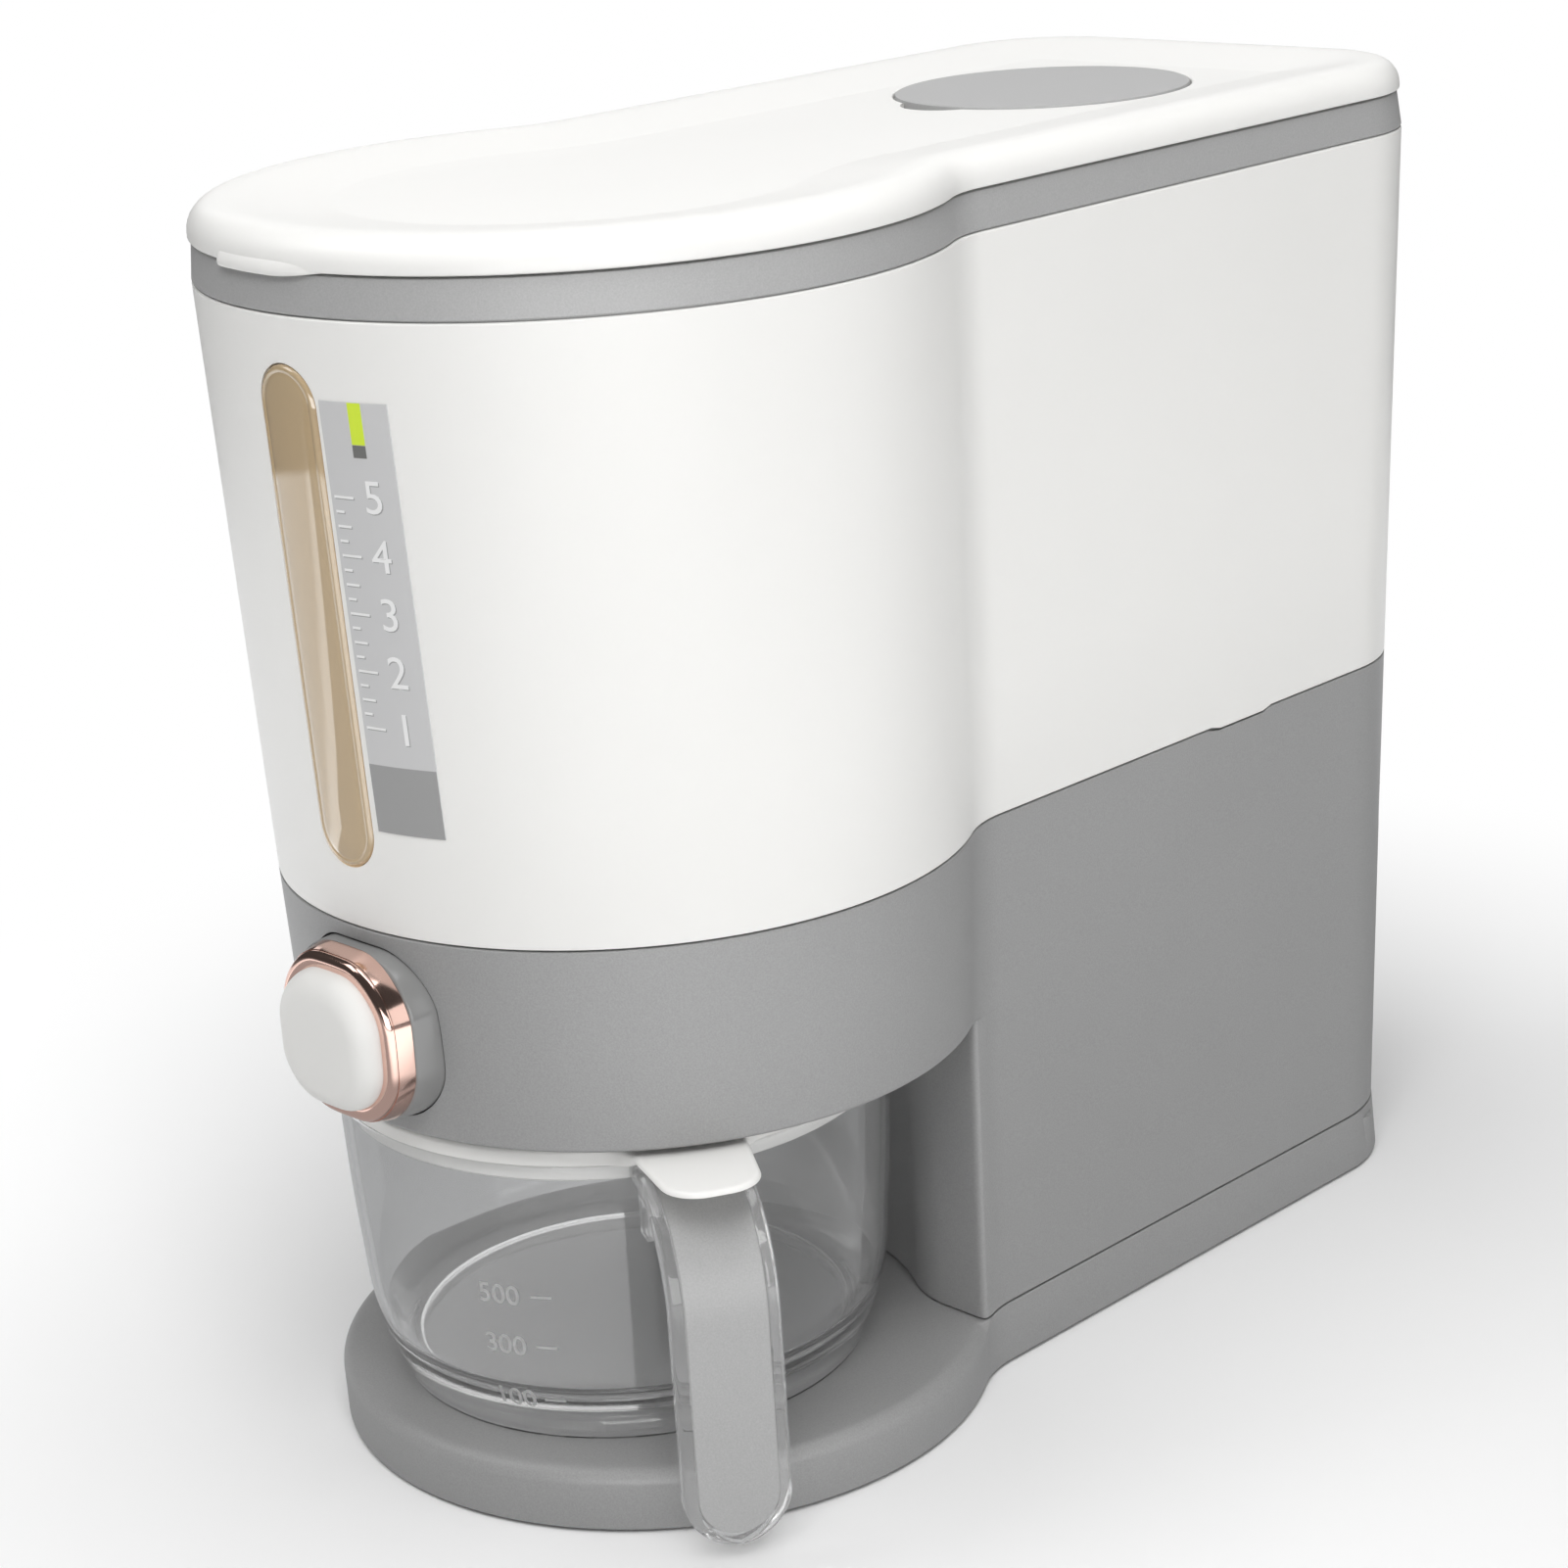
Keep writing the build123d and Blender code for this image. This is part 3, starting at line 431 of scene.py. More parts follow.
def column_loop(height, inset):
    """The column's plan loop: the bay's hollow arc, a round, the flat face, then the rear part.

    The round bulges forward and is tangent to both: its centre lies one radius behind the flat,
    and its distance from the hollow's centre is both radii together."""
    hollow, turn = BAY_RADIUS + inset, BAY_ROUND - inset
    centre_y = BAY_FACE + inset + turn
    centre_x = math.sqrt((hollow + turn)**2 - (centre_y - CUP_Y)**2)
    tangent = math.atan2(centre_y - CUP_Y, centre_x)
    rear = evenly(split_half(between(height, COLUMN_FOOT, FOOT_PLAN, BAY_TOP, BAY_PLAN), inset)[1], 400)
    corner = rear[0]
    past = np.argmax(np.linalg.norm(rear - corner, axis=1) > COLUMN_EDGE)
    t = np.linspace(0, 1, 8)[:, None]
    nose = (1 - t)**2 * (corner - [COLUMN_EDGE, 0.0]) + 2 * t * (1 - t) * corner + t**2 * rear[past]
    middle = len(nose) // 2
    front = np.vstack([arc(np.linspace(math.pi / 2, tangent, 60), hollow, 0.0, CUP_Y),
                       arc(np.linspace(tangent - math.pi, -math.pi / 2, 24), turn, centre_x, centre_y)[1:],
                       nose[:middle + 1]])
    return spaced(front, np.vstack([nose[middle:], rear[past + 1:]]))


def overhang_loop(height, inset):
    """The overhang's plan loop, with its points shared out as the column's are."""
    return spaced(*split_half(between(height, BAY_TOP, BAY_PLAN, SPLIT, SPLIT_PLAN), inset))


def lug_sink(loop):
    """How far the seam dips at the two side lugs: full between their ends, with steep flanks."""
    begun, ended = (smooth_step(loop[:, 1], end - 0.2, end + 0.2) for end in LUG_SIDE)
    return LUG_DROP * begun * (1 - ended) * (np.abs(loop[:, 0]) > LUG_OUTSIDE)


def shell_skin(inset):
    """Loops of the shell's outer or inner skin, from the column's foot to the seam."""
    low, top = COLUMN_FOOT, BAY_TOP + inset
    rows = [at_height(column_loop(height, inset + pull), height) for height, pull in (
        (low, 0.25), (low + 0.3, 0.0), ((low + top) / 2, 0.0), (top - 1.0, 0.0), (top, 0.0))]
    full = overhang_loop(top, inset)
    rows.append(rows[-1] + (at_height(full, top) - rows[-1]) * 0.03)
    edge = 1.0 if inset == 0 else 0.3
    rear = full[:, 1] > BAY_FACE + inset + 0.01
    for angle in quarter_turn(6):
        loop = overhang_loop(top, inset + edge * (1 - math.sin(angle)))
        loop[rear] = full[rear]
        rows.append(at_height(loop, top + edge * (1 - math.cos(angle))))
    middle = (BAY_TOP + SPLIT) / 2
    return rows + [at_height(overhang_loop(middle, inset), middle)]


def shell_rows():
    """Outer skin up, over the seam's step, and the inner skin down again."""
    rows = shell_skin(0.0)
    for inset, height in ((0.0, SPLIT - SEAM - 0.25), (0.25, SPLIT - SEAM), (SEAM_DEEP, SPLIT - SEAM),
                          (SEAM_DEEP, SPLIT), (WALL, SPLIT)):
        loop = overhang_loop(height, inset)
        rows.append(at_height(loop, height - lug_sink(loop)))
    return rows + shell_skin(WALL)[::-1]


shell = moulding("column_shell", [ring(shell_rows())], GREY_BODY, "dispenser", ("lower_shell",))
half_x, half_y = CHUTE_HALF
chute_corners = [(x * half_x, CHUTE_Y + y * half_y) for x, y in ((1, -1), (1, 1), (-1, 1), (-1, -1))]
cut_away(shell, [prism(rounded(chute_corners, [CHUTE_CORNER] * 4, 10), BAY_TOP - 5.0, BAY_TOP + 5.0)])

# Hopper: the white tub, drafted so that it leaves its mould, with a sloping floor and a
# funnel inside that lead down to the slide valve. It stands on the shell's rim.
RIM_PLAN = (86.2, -1.8, 71.4, 232.6)
HOPPER_RIM = 281.0
FLOOR_LOW = 150.0
FLOOR_HIGH = 206.0
FLOOR_THICK = 3.4
FUNNEL_RADIUS = 76.0
FUNNEL_BOTTOM = 114.0
SPOUT_END = 107.8
THROAT = (18.0, 3.5)
THROAT_Y = -10.0

WHITE_BODY = plastic("satin_white_plastic", (0.885, 0.88, 0.86), 0.34, 0.5, 0.25, 0.012)


def hopper_plan(height):
    """Plan sizes of the hopper's wall at a height."""
    return between(height, SPLIT, SPLIT_PLAN, HOPPER_RIM, RIM_PLAN)


def floor_height(loop):
    """The sloping floor: level over the funnel, then rising straight to the back wall."""
    rise = (FLOOR_HIGH - FLOOR_LOW) / (RIM_PLAN[3] - FUNNEL_RADIUS)
    return FLOOR_LOW + np.maximum(loop[:, 1] - FUNNEL_RADIUS, 0) * rise


def oval(loop, half_x, half_y, centre_y, power):
    """A superellipse |x/a|^n + |y/b|^n = 1, with one point in the direction of each loop point."""
    angle = np.arctan2(loop[:, 1] - centre_y, loop[:, 0])
    c, s = np.cos(angle), np.sin(angle)
    reach = (np.abs(c / half_x)**power + np.abs(s / half_y)**power)**(-1 / power)
    return stack(reach * c, centre_y + reach * s)


def hopper_rows():
    """Up the outer wall, over the rim, down inside to the floor, and through the funnel,
    then back outside it."""
    rows = []
    for inset, height in ((0.3, SPLIT), (0.05, SPLIT + 0.1), (0.0, SPLIT + 0.4), (0.0, 180.0), (0.0, 230.0),
                          (0.0, HOPPER_RIM - 0.4), (0.3, HOPPER_RIM), (WALL, HOPPER_RIM)):
        loop = outline(hopper_plan(height), inset)
        rows.append(at_height(loop, height - (lug_sink(loop) if height < SPLIT + 1 else 0)))
    wall_foot = outline(hopper_plan(FLOOR_LOW + 10), WALL)
    mouth = oval(wall_foot, FUNNEL_RADIUS, FUNNEL_RADIUS, 0.0, 2.0)
    rows.append(at_height(wall_foot, floor_height(wall_foot) + 0.5))
    for share in (0.04, 0.35, 0.7, 1.0):
        loop = wall_foot + (mouth - wall_foot) * share
        rows.append(at_height(loop, floor_height(loop)))
    throat = oval(wall_foot, *THROAT, THROAT_Y, 6.0)
    outside = oval(wall_foot, THROAT[0] + WALL, THROAT[1] + WALL, THROAT_Y, 6.0)
    wide = oval(wall_foot, FUNNEL_RADIUS + WALL, FUNNEL_RADIUS + WALL, 0.0, 2.0)
    under_floor = floor_height(wall_foot) - FLOOR_THICK
    return rows + [at_height(loop, height) for loop, height in (
        (throat, FUNNEL_BOTTOM), (throat, SPOUT_END), (outside, SPOUT_END), (outside, FUNNEL_BOTTOM - 2.0),
        (wide * 0.97, FLOOR_LOW - FLOOR_THICK), (outline(hopper_plan(SPLIT + 3), WALL + 1.0), under_floor),
        (outline(hopper_plan(SPLIT + 3), WALL), under_floor), (outline(hopper_plan(SPLIT), WALL), SPLIT))]


hopper = moulding("hopper_tub", [ring(hopper_rows())], WHITE_BODY, "dispenser", ("hopper",))

# Sight window: a tinted clear lens set flush into the hopper's front, a little proud at its
# rounded edge.
WINDOW_X = 1.0
WINDOW_HALF = 9.2
WINDOW_LOW = 157.7
WINDOW_HIGH = 270.8
WINDOW_CUT = (-60.0, -100.0)
LENS_DEPTH = 3.6


def stadium(inset):
    """Upright stadium in x and z, pulled in by the inset: two half circles joined by straight sides."""
    radius = WINDOW_HALF - inset
    low, high = WINDOW_LOW + WINDOW_HALF, WINDOW_HIGH - WINDOW_HALF
    angle = np.linspace(0, math.pi, 40)
    side = np.linspace(high, low, 30)[1:-1]
    return np.vstack([arc(angle, radius, WINDOW_X, high), stack(WINDOW_X - radius, side),
                      arc(angle, -radius, WINDOW_X, low), stack(WINDOW_X + radius, side[::-1])])


def on_front(shape, proud):
    """A flat x, z shape laid on the hopper's round front, standing proud by a distance.

    The front is a circle that grows with height."""
    x, z = shape.T
    radius, centre = hopper_plan(z)[:2]
    return stack(x, centre - np.sqrt(radius**2 - x**2) - proud, z)


def clear_plastic(name, tint, roughness, ior, lamp_tint, weight, stretch=1.0, **sockets):
    """Clear plastic: a Principled shader that bends light, which lamps shine straight through.

    Its faint ripples are drawn out upwards when the stretch is below 1. A tint is one grey
    value or three values."""
    tint, lamp_tint = ((*np.broadcast_to(value, 3).tolist(), 1) for value in (tint, lamp_tint))
    material, tree, shader = new_material(name, **sockets)
    place = shade(tree, "TexCoord", output="Object")
    drawn = shade(tree, "VectorMath", {0: place, 1: (1.0, 1.0, stretch)}, operation="MULTIPLY")
    ripple = shade(tree, "TexNoise", {"Vector": drawn, "Scale": 60.0, "Detail": 2.0}, "Fac")
    relief = shade(tree, "Bump", {"Strength": 0.25, "Distance": 0.0001, "Height": ripple})
    fill(tree, shader, {"Base Color": tint, "Transmission Weight": weight, "IOR": ior, "Normal": relief,
                        "Roughness": maths(tree, "MULTIPLY_ADD", ripple, 0.03, roughness)})
    through = shade(tree, "BsdfTransparent", {"Color": lamp_tint})
    shadow = shade(tree, "LightPath", output="Is Shadow Ray")
    surface = mixed(tree, shadow, shader.outputs["BSDF"], through)
    fill(tree, tree.nodes["Material Output"], {"Surface": surface})
    return material


opening = stadium(0.0)
cut_away(hopper, [solid([stack(opening[:, 0], y, opening[:, 1]) for y in WINDOW_CUT])])
AMBER = clear_plastic("amber_clear_plastic", (0.62, 0.475, 0.29), 0.03, 1.49, (0.75, 0.62, 0.45),
    weight=0.2, Coat_Weight=1.0, Coat_Roughness=0.02, Coat_IOR=1.9)
# Insets from the opening's edge and heights above the wall, from the middle of the lens's
# front, out over its round edge, to the middle of its back.
LENS_SECTION = ((WINDOW_HALF - 0.02, 0.85), (7.4, 0.84), (5.8, 0.80), (4.2, 0.73), (3.1, 0.64), (2.4, 0.54),
    (2.1, 0.42), (1.95, 0.40), (1.8, 0.44), (1.5, 0.55), (1.2, 0.56), (0.9, 0.45), (0.65, 0.25),
    (0.42, -0.05), (0.3, -0.5), (0.25, -1.0), (0.25, -LENS_DEPTH), (1.2, -LENS_DEPTH), (4.0, -LENS_DEPTH),
    (WINDOW_HALF - 0.02, -LENS_DEPTH))
moulding("sight_window_lens", [solid([on_front(stadium(inset), proud) for inset, proud in LENS_SECTION])],
         AMBER, "dispenser", ("window_lens",))

# Level scale: a thin printed plate beside the window, bent to the wall. Light grey, with
# a darker block at its foot and a small coloured bar at its head.
LABEL_WIDTH = 17.3
LABEL_X = 20.4
LABEL_LOW = 168.2
LABEL_HIGH = 264.0
LABEL_TILT = 0.5
LABEL_THICK = 0.3
LABEL_BLOCK = 15.6
BAR_U = 0.7
BAR_HALF = 1.65
BAR_TALL = 9.0
BAR_SQUARE = 2.8
PRINT_THICK = 0.04
NUMBER_STEP = 12.8
NUMBER_TALL = 7.2
FIRST_NUMBER = 24.0
label_tall = LABEL_HIGH - LABEL_LOW
half_label = LABEL_WIDTH / 2


def leaning(u, v):
    """Label coordinates in mm, across from its middle and up from its foot, as x and z on the wall."""
    lean = math.radians(LABEL_TILT)
    up = v - label_tall / 2
    return stack(LABEL_X + u * math.cos(lean) - up * math.sin(lean),
                 LABEL_LOW + label_tall / 2 + u * math.sin(lean) + up * math.cos(lean))


def label_grid(u0, u1, v0, v1, low, high):
    """A thin bent slab over a rectangle of the label, between two heights above the wall."""
    columns, rows = 24, 40
    u, v = np.meshgrid(np.linspace(u0, u1, columns), np.linspace(v0, v1, rows))
    index = np.arange(rows * columns).reshape(rows, columns)
    rim = np.concatenate([index[0, :-1], index[:-1, -1], index[-1, :0:-1], index[:0:-1, 0]])
    after, behind, front = np.roll(rim, -1), rows * columns, quads(index)
    sides = np.stack([rim, rim + behind, after + behind, after], -1)
    faces = np.concatenate([front, front[:, ::-1] + behind, sides])
    place = leaning(u.ravel(), v.ravel())
    return np.vstack([on_front(place, high), on_front(place, low)]), faces.tolist()


# The dark film is both the block's print and the painted drop shadow under the numbers.
FILM = {}
for name, tone, blotch in (
        ("grey", (0.61, 0.61, 0.615), 0.02), ("dark", (0.35, 0.35, 0.35), 0.03),
        ("black", (0.17, 0.17, 0.165), 0.03), ("lime", (0.68, 0.86, 0.05), 0.02),
        ("white", (0.88, 0.88, 0.88), 0.01)):
    FILM[name] = plastic("printed_" + name + "_film", tone, 0.36, 0.4, 0.15, blotch)
bar_low, bar_left, bar_right = label_tall - BAR_TALL, BAR_U - BAR_HALF, BAR_U + BAR_HALF


def numerals(text, tall, thick):
    """Digits as thin solids, tall mm high and thick mm deep, middled on the origin."""
    curve = bpy.data.curves.new("digits", "FONT")
    curve.body = text
    curve.align_x, curve.align_y = "CENTER", "CENTER"
    curve.size = tall / 0.7
    curve.resolution_u = 4
    curve.extrude = thick / 2
    letters = bpy.data.objects.new("digits", curve)
    mesh = bpy.data.meshes.new_from_object(letters)
    points = np.empty(len(mesh.vertices) * 3)
    mesh.vertices.foreach_get("co", points)
    faces = [list(face.vertices) for face in mesh.polygons]
    bpy.data.objects.remove(letters)
    bpy.data.curves.remove(curve)
    bpy.data.meshes.remove(mesh)
    return points.reshape(-1, 3), faces


def dash(long, wide, thick):
    """A thin bar that starts at the origin: long to the right, and middled in height and thickness."""
    low, high = ([(long * share, side * wide / 2) for share in (0, 0.5, 1)] for side in (-1, 1))
    return prism(np.array(low + high[::-1]), -thick / 2, thick / 2)


def printed(shape, u, v, proud):
    """A thin shape laid on the label at u, v, with its middle at a height above the wall."""
    points, faces = shape
    return on_front(leaning(points[:, 0] + u, points[:, 1] + v), proud + points[:, 2]), faces


def scale_marks(shift, proud):
    """The numbers 1 to 5 with ticks between them, moved sideways and down by the shift."""
    marks = []
    for number in range(1, 6):
        level = FIRST_NUMBER + (number - 1) * NUMBER_STEP - shift
        marks.append(printed(numerals(str(number), NUMBER_TALL, PRINT_THICK), 2.6 + shift, level, proud))
        for tick, long in ((0, 5.2), (0.25, 2.2), (0.5, 3.6), (0.75, 2.2)):
            if number < 5 or tick == 0:
                height = level + tick * NUMBER_STEP
                marks.append(printed(dash(long, 0.56, PRINT_THICK), 0.9 - half_label + shift, height,
                    proud))
    return marks


# The shade piece is a painted drop shadow: the numbers and ticks again in the dark film, set off to the
# right and down, just under the white ones.
for name, film, nodes, parts in (("plate", "grey", ("level_scale",),
        [label_grid(-half_label, half_label, 0, label_tall, -0.05, LABEL_THICK - 0.04)]),
        ("block", "dark", (), [label_grid(0.02 - half_label, half_label - 0.02, 0.02, LABEL_BLOCK, 0.2,
        LABEL_THICK - 0.02)]), ("bar", "lime", (), [label_grid(bar_left, bar_right, bar_low,
        label_tall - 0.05, 0.2, LABEL_THICK)]), ("shade", "dark", (),
        scale_marks(0.22, LABEL_THICK - 0.03)), ("numbers", "white", (), scale_marks(0.0, LABEL_THICK)),
        ("square", "black", (), [label_grid(bar_left, bar_right, bar_low - BAR_SQUARE, bar_low - 0.1, 0.2,
        LABEL_THICK)])):
    moulding("level_scale_" + name, parts, FILM[film], "dispenser", nodes)

# Collar: the grey band on the hopper's rim, with a fine shadow groove under it, and a ring
# that hangs inside the hopper.
COLLAR_PLAN = (85.4, -1.8, 70.6, 231.8)
COLLAR_TOP = 290.0
COLLAR_LOW = HOPPER_RIM + 0.4
COLLAR_HANGS = 274.0
COLLAR_INSIDE = WALL + 2.2
GREY_TRIM = plastic("satin_grey_trim", (0.40, 0.40, 0.40), 0.44, 0.40, 0.8, 0.02, 0.18,
    Specular_IOR_Level=0.8)
COLLAR_SECTION = ((0.8, HOPPER_RIM), (0.8, COLLAR_LOW), (0.3, COLLAR_LOW), (0.0, COLLAR_LOW + 0.3),
    (0.0, (COLLAR_LOW + COLLAR_TOP) / 2), (0.0, COLLAR_TOP - 0.4), (0.12, COLLAR_TOP - 0.12),
    (0.4, COLLAR_TOP), (COLLAR_INSIDE - 0.3, COLLAR_TOP), (COLLAR_INSIDE, COLLAR_TOP - 0.3),
    (COLLAR_INSIDE + 0.7, COLLAR_HANGS), (WALL + 0.2, COLLAR_HANGS), (WALL + 0.2, HOPPER_RIM))


def collar_loop(inset, height):
    """A loop of the collar's tapering plan, which keeps its lowest size below the groove."""
    plan = between(max(height, COLLAR_LOW), COLLAR_LOW, RIM_PLAN, COLLAR_TOP, COLLAR_PLAN)
    return at_height(outline(plan, inset), height)


moulding("hopper_collar_band", [ring([collar_loop(*point) for point in COLLAR_SECTION])], GREY_TRIM,
    "dispenser", ("hopper_collar",))

# Lid: one white moulding, a soft raised rim round a sunken panel, with a plug that
# enters the collar and a short tab at the front to lift it by.
LID_LIP = 290.6
LID_CREST = 298.2
LID_PANEL = 295.5
LID_WALL = 2.2
PLUG_INSET = COLLAR_INSIDE + 0.9
PLUG_FOOT = 283.0
CAP_Y = 157.0
CAP_RADIUS = 37.2
CAP_ROOM = 37.65
CAP_SEAT = 293.6
CAP_TOP = 296.0
WELL_RADIUS = 33.0
WELL_FOOT = 285.6
WELL_TOP = 292.4
SCOOP_RADIUS = 13.0
SCOOP_ANGLE = 187.0
SCOOP_FLOOR = LID_PANEL - 6.0
SCOOP_FOOT = SCOOP_FLOOR - 1.6


def lid_rows():
    """From the middle of the underside out, down the plug, over the lip, and in along the top."""
    corners = [(40.0, LID_PANEL - LID_WALL), (32.0, LID_PANEL - LID_WALL), (10.0, LID_CREST - LID_WALL),
               (PLUG_INSET + LID_WALL, LID_CREST - LID_WALL), (PLUG_INSET + LID_WALL, PLUG_FOOT),
               (PLUG_INSET, PLUG_FOOT), (PLUG_INSET, COLLAR_TOP), (2.4, COLLAR_TOP), (2.4, LID_LIP),
               (-0.7, LID_LIP), (-0.7, LID_CREST), (9.0, LID_CREST), (31.0, LID_PANEL), (40.0, LID_PANEL)]
    radii = [0, 2, 2, 1.0, 0.5, 0.6, 0.2, 0.2, 0.2, 0.45, 6.4, 22.0, 16.0, 0]
    return [at_height(outline(COLLAR_PLAN, inset), height) for inset, height in rounded(corners, radii, 10)]


def about_cap(*section):
    """A turned shape about the cap's axis."""
    return turned(0.0, CAP_Y, section)


lid = moulding("lid_shell", [solid(lid_rows())], WHITE_BODY, "lid", ("lid",), sharp=40.0)
cut_away(lid, [solid(about_cap((CAP_ROOM, PLUG_FOOT - 3.0), (CAP_ROOM, LID_PANEL - 0.5),
                               (CAP_ROOM + 0.15, LID_PANEL - 0.15), (CAP_ROOM + 0.5, LID_PANEL + 0.05),
                               (CAP_ROOM + 0.5, LID_PANEL + 4.5)))], sharp=20.0)
well = moulding("lid_well_wall", [ring(about_cap((WELL_RADIUS, WELL_TOP), (WELL_RADIUS, WELL_FOOT),
    (WELL_RADIUS + 2, WELL_FOOT), (WELL_RADIUS + 2, LID_LIP), (CAP_ROOM + 1, LID_LIP),
    (CAP_ROOM + 1, 294.4), (CAP_ROOM + 0.05, 294.4), (CAP_ROOM + 0.05, CAP_SEAT), (36.2, CAP_SEAT),
    (36.2, WELL_TOP)))], WHITE_BODY, "lid")


def scoop_outline(grow):
    """Crescent in plan: the finger scoop's circle outside the well wall's circle.

    The circles cross where the distance between their centres and both radii close a triangle."""
    inside, hollow, apart = WELL_RADIUS + 2.0 - grow, SCOOP_RADIUS + grow, CAP_RADIUS - 7.5
    inside_half = math.acos((inside**2 + apart**2 - hollow**2) / (2 * inside * apart))
    hollow_half = math.pi - math.acos((hollow**2 + apart**2 - inside**2) / (2 * hollow * apart))
    toward = math.pi / 2 - math.radians(SCOOP_ANGLE)
    out = toward + np.linspace(-hollow_half, hollow_half, 50)
    back = toward + np.linspace(inside_half, -inside_half, 30)[1:-1]
    middle = arc(toward, apart, 0.0, CAP_Y)[0]
    return np.vstack([arc(out, hollow, *middle), arc(back, inside, 0.0, CAP_Y)])


scoop_cutter = [prism(scoop_outline(0.0), SCOOP_FOOT + 0.1, LID_PANEL + 1.5)]
cut_away(lid, scoop_cutter, sharp=20.0)
cut_away(well, scoop_cutter)


def scoop_top(loop):
    """The dish's upper edge: just under the panel outside, and under the cap's seat beside the well."""
    from_cap = np.hypot(loop[:, 0], loop[:, 1] - CAP_Y)
    rise = (LID_PANEL - CAP_SEAT + 0.4) * smooth_step(from_cap, CAP_ROOM - 0.4, CAP_ROOM + 1.2)
    return at_height(loop, CAP_SEAT - 1.4 + rise)


inside, outside, under = (scoop_outline(grow) for grow in (0.03, 1.6, -0.5))
moulding("lid_scoop_dish", [
    carried([scoop_top(outside), at_height(outside, SCOOP_FOOT), at_height(inside, SCOOP_FOOT)]),
    carried([at_height(inside, SCOOP_FLOOR), scoop_top(inside)], caps=(True, False)),
    carried([scoop_top(inside), scoop_top(outside)]),
    carried([at_height(inside, SCOOP_FOOT), at_height(under, SCOOP_FOOT)], caps=(False, True))],
    WHITE_BODY, "lid")


def front_tab(low, start, stop):
    """A lip on the round front between two azimuths in degrees, proud of the plan by its section's reach.

    It starts with a short round and fades out over the last third."""
    radius, centre = COLLAR_PLAN[:2]
    share = np.linspace(0, 1, 61)
    turn = np.radians(start + (stop - start) * share)
    fade = np.sqrt(1 - (1 - np.clip(share / 0.07, 0, 1))**2) * (1 - smooth_step(share, 0.5, 1.0))
    ends_at = LID_LIP + 0.5
    rows = []
    for out, rise in ((0.3, 0.4), (0.35, 0.0), (1.0, 0.0), (1.4, 0.2), (1.55, 0.7), (1.45, 1.5), (1.1, 2.4),
            (0.6, 3.2), (-0.1, 4.0)):
        reach = radius - 0.1 + (out + 0.1) * fade
        height = ends_at + (low + rise - ends_at) * (fade if rise < 1.2 else 1.0)
        rows.append(stack(reach * np.sin(turn), centre - reach * np.cos(turn), height))
    index = np.arange(len(rows) * len(turn)).reshape(len(rows), len(turn))
    ends = [index[:, 0].tolist(), index[::-1, -1].tolist()]
    return np.concatenate(rows), quads(index, True).tolist() + ends


moulding("lid_pull_tab", [front_tab(COLLAR_TOP - 0.7, -14.3, 16.0)], WHITE_BODY, "lid")

# Absorber cap: the flat grey disk in the lid, with a soft edge, lifted off the basket by
# a finger in the scoop beside it.
CAP_GREY = plastic("satin_grey_cap", (0.45, 0.45, 0.45), 0.44, 0.40, 0.6, 0.02, 0.12)
moulding("absorber_cap_disk", [solid(about_cap((WELL_RADIUS - 3.7, CAP_SEAT + 0.3),
    (WELL_RADIUS - 3.7, CAP_SEAT - 5), (WELL_RADIUS - 2.1, CAP_SEAT - 5),
    (WELL_RADIUS - 2.1, CAP_SEAT + 0.02), (CAP_RADIUS - 0.2, CAP_SEAT + 0.02), (CAP_RADIUS, CAP_SEAT + 0.2),
    (CAP_RADIUS, CAP_TOP - 0.7), (CAP_RADIUS - 0.2, CAP_TOP - 0.2), (CAP_RADIUS - 0.7, CAP_TOP),
    (CAP_RADIUS - 3, CAP_TOP)))], CAP_GREY, "cap", ("absorber_cap",))

# Measuring cup: a clear bowl turned about its own axis, with a foot ring, thick enough
# to show a bright rim.
CUP_RIM = 89.2
CUP_WALL = 2.2
CUP_FLOOR = 24.0
SKIRT_INSIDE = 54.2
SKIRT_FOOT = 15.7
MARKS_PROUD = 0.02
BOWL_OUTSIDE = np.array([(56.5, 16.0), (56.8, 17.0), (57.6, 19.5), (60.9, 27.5), (62.9, 37.0), (63.9, 48.0),
    (65.0, 62.0), (65.8, 78.0), (66.1, 88.6)])
COAT = {"Coat_Weight": 1.0, "Coat_Roughness": 0.05, "Coat_IOR": 1.5}
CLEAR = clear_plastic("clear_handle_plastic", 0.95, 0.03, 1.22, 0.88, 0.90, 0.12, **COAT)
CLEAR_BOWL = clear_plastic("clear_bowl_plastic", 0.895, 0.03, 1.16, 0.62, 0.95, 0.12, **COAT)
MARKS = clear_plastic("clear_plastic_marks", 0.84, 0.30, 1.30, 0.90, 0.80)


def smooth_curve(points, per_span=6):
    """Catmull-Rom curve: each span is a cubic through its ends, aimed along its neighbours' chord."""
    points = np.asarray(points, float)
    p = np.vstack([2 * points[0] - points[1], points, 2 * points[-1] - points[-2]])
    t = np.linspace(0, 1, per_span, endpoint=False)[:, None]
    spans = []
    for a, b, c, d in zip(p[:-3], p[1:-2], p[2:-1], p[3:]):
        square, cube = 2 * a - 5 * b + 4 * c - d, 3 * b - a - 3 * c + d
        spans.append(0.5 * (2 * b + (c - a) * t + square * t**2 + cube * t**3))
    return np.vstack(spans + [points[-1:]])


def inward(tangents):
    """Unit normals a quarter turn to the left of tangents."""
    tangents = tangents / np.linalg.norm(tangents, axis=1)[:, None]
    return stack(-tangents[:, 1], tangents[:, 0])


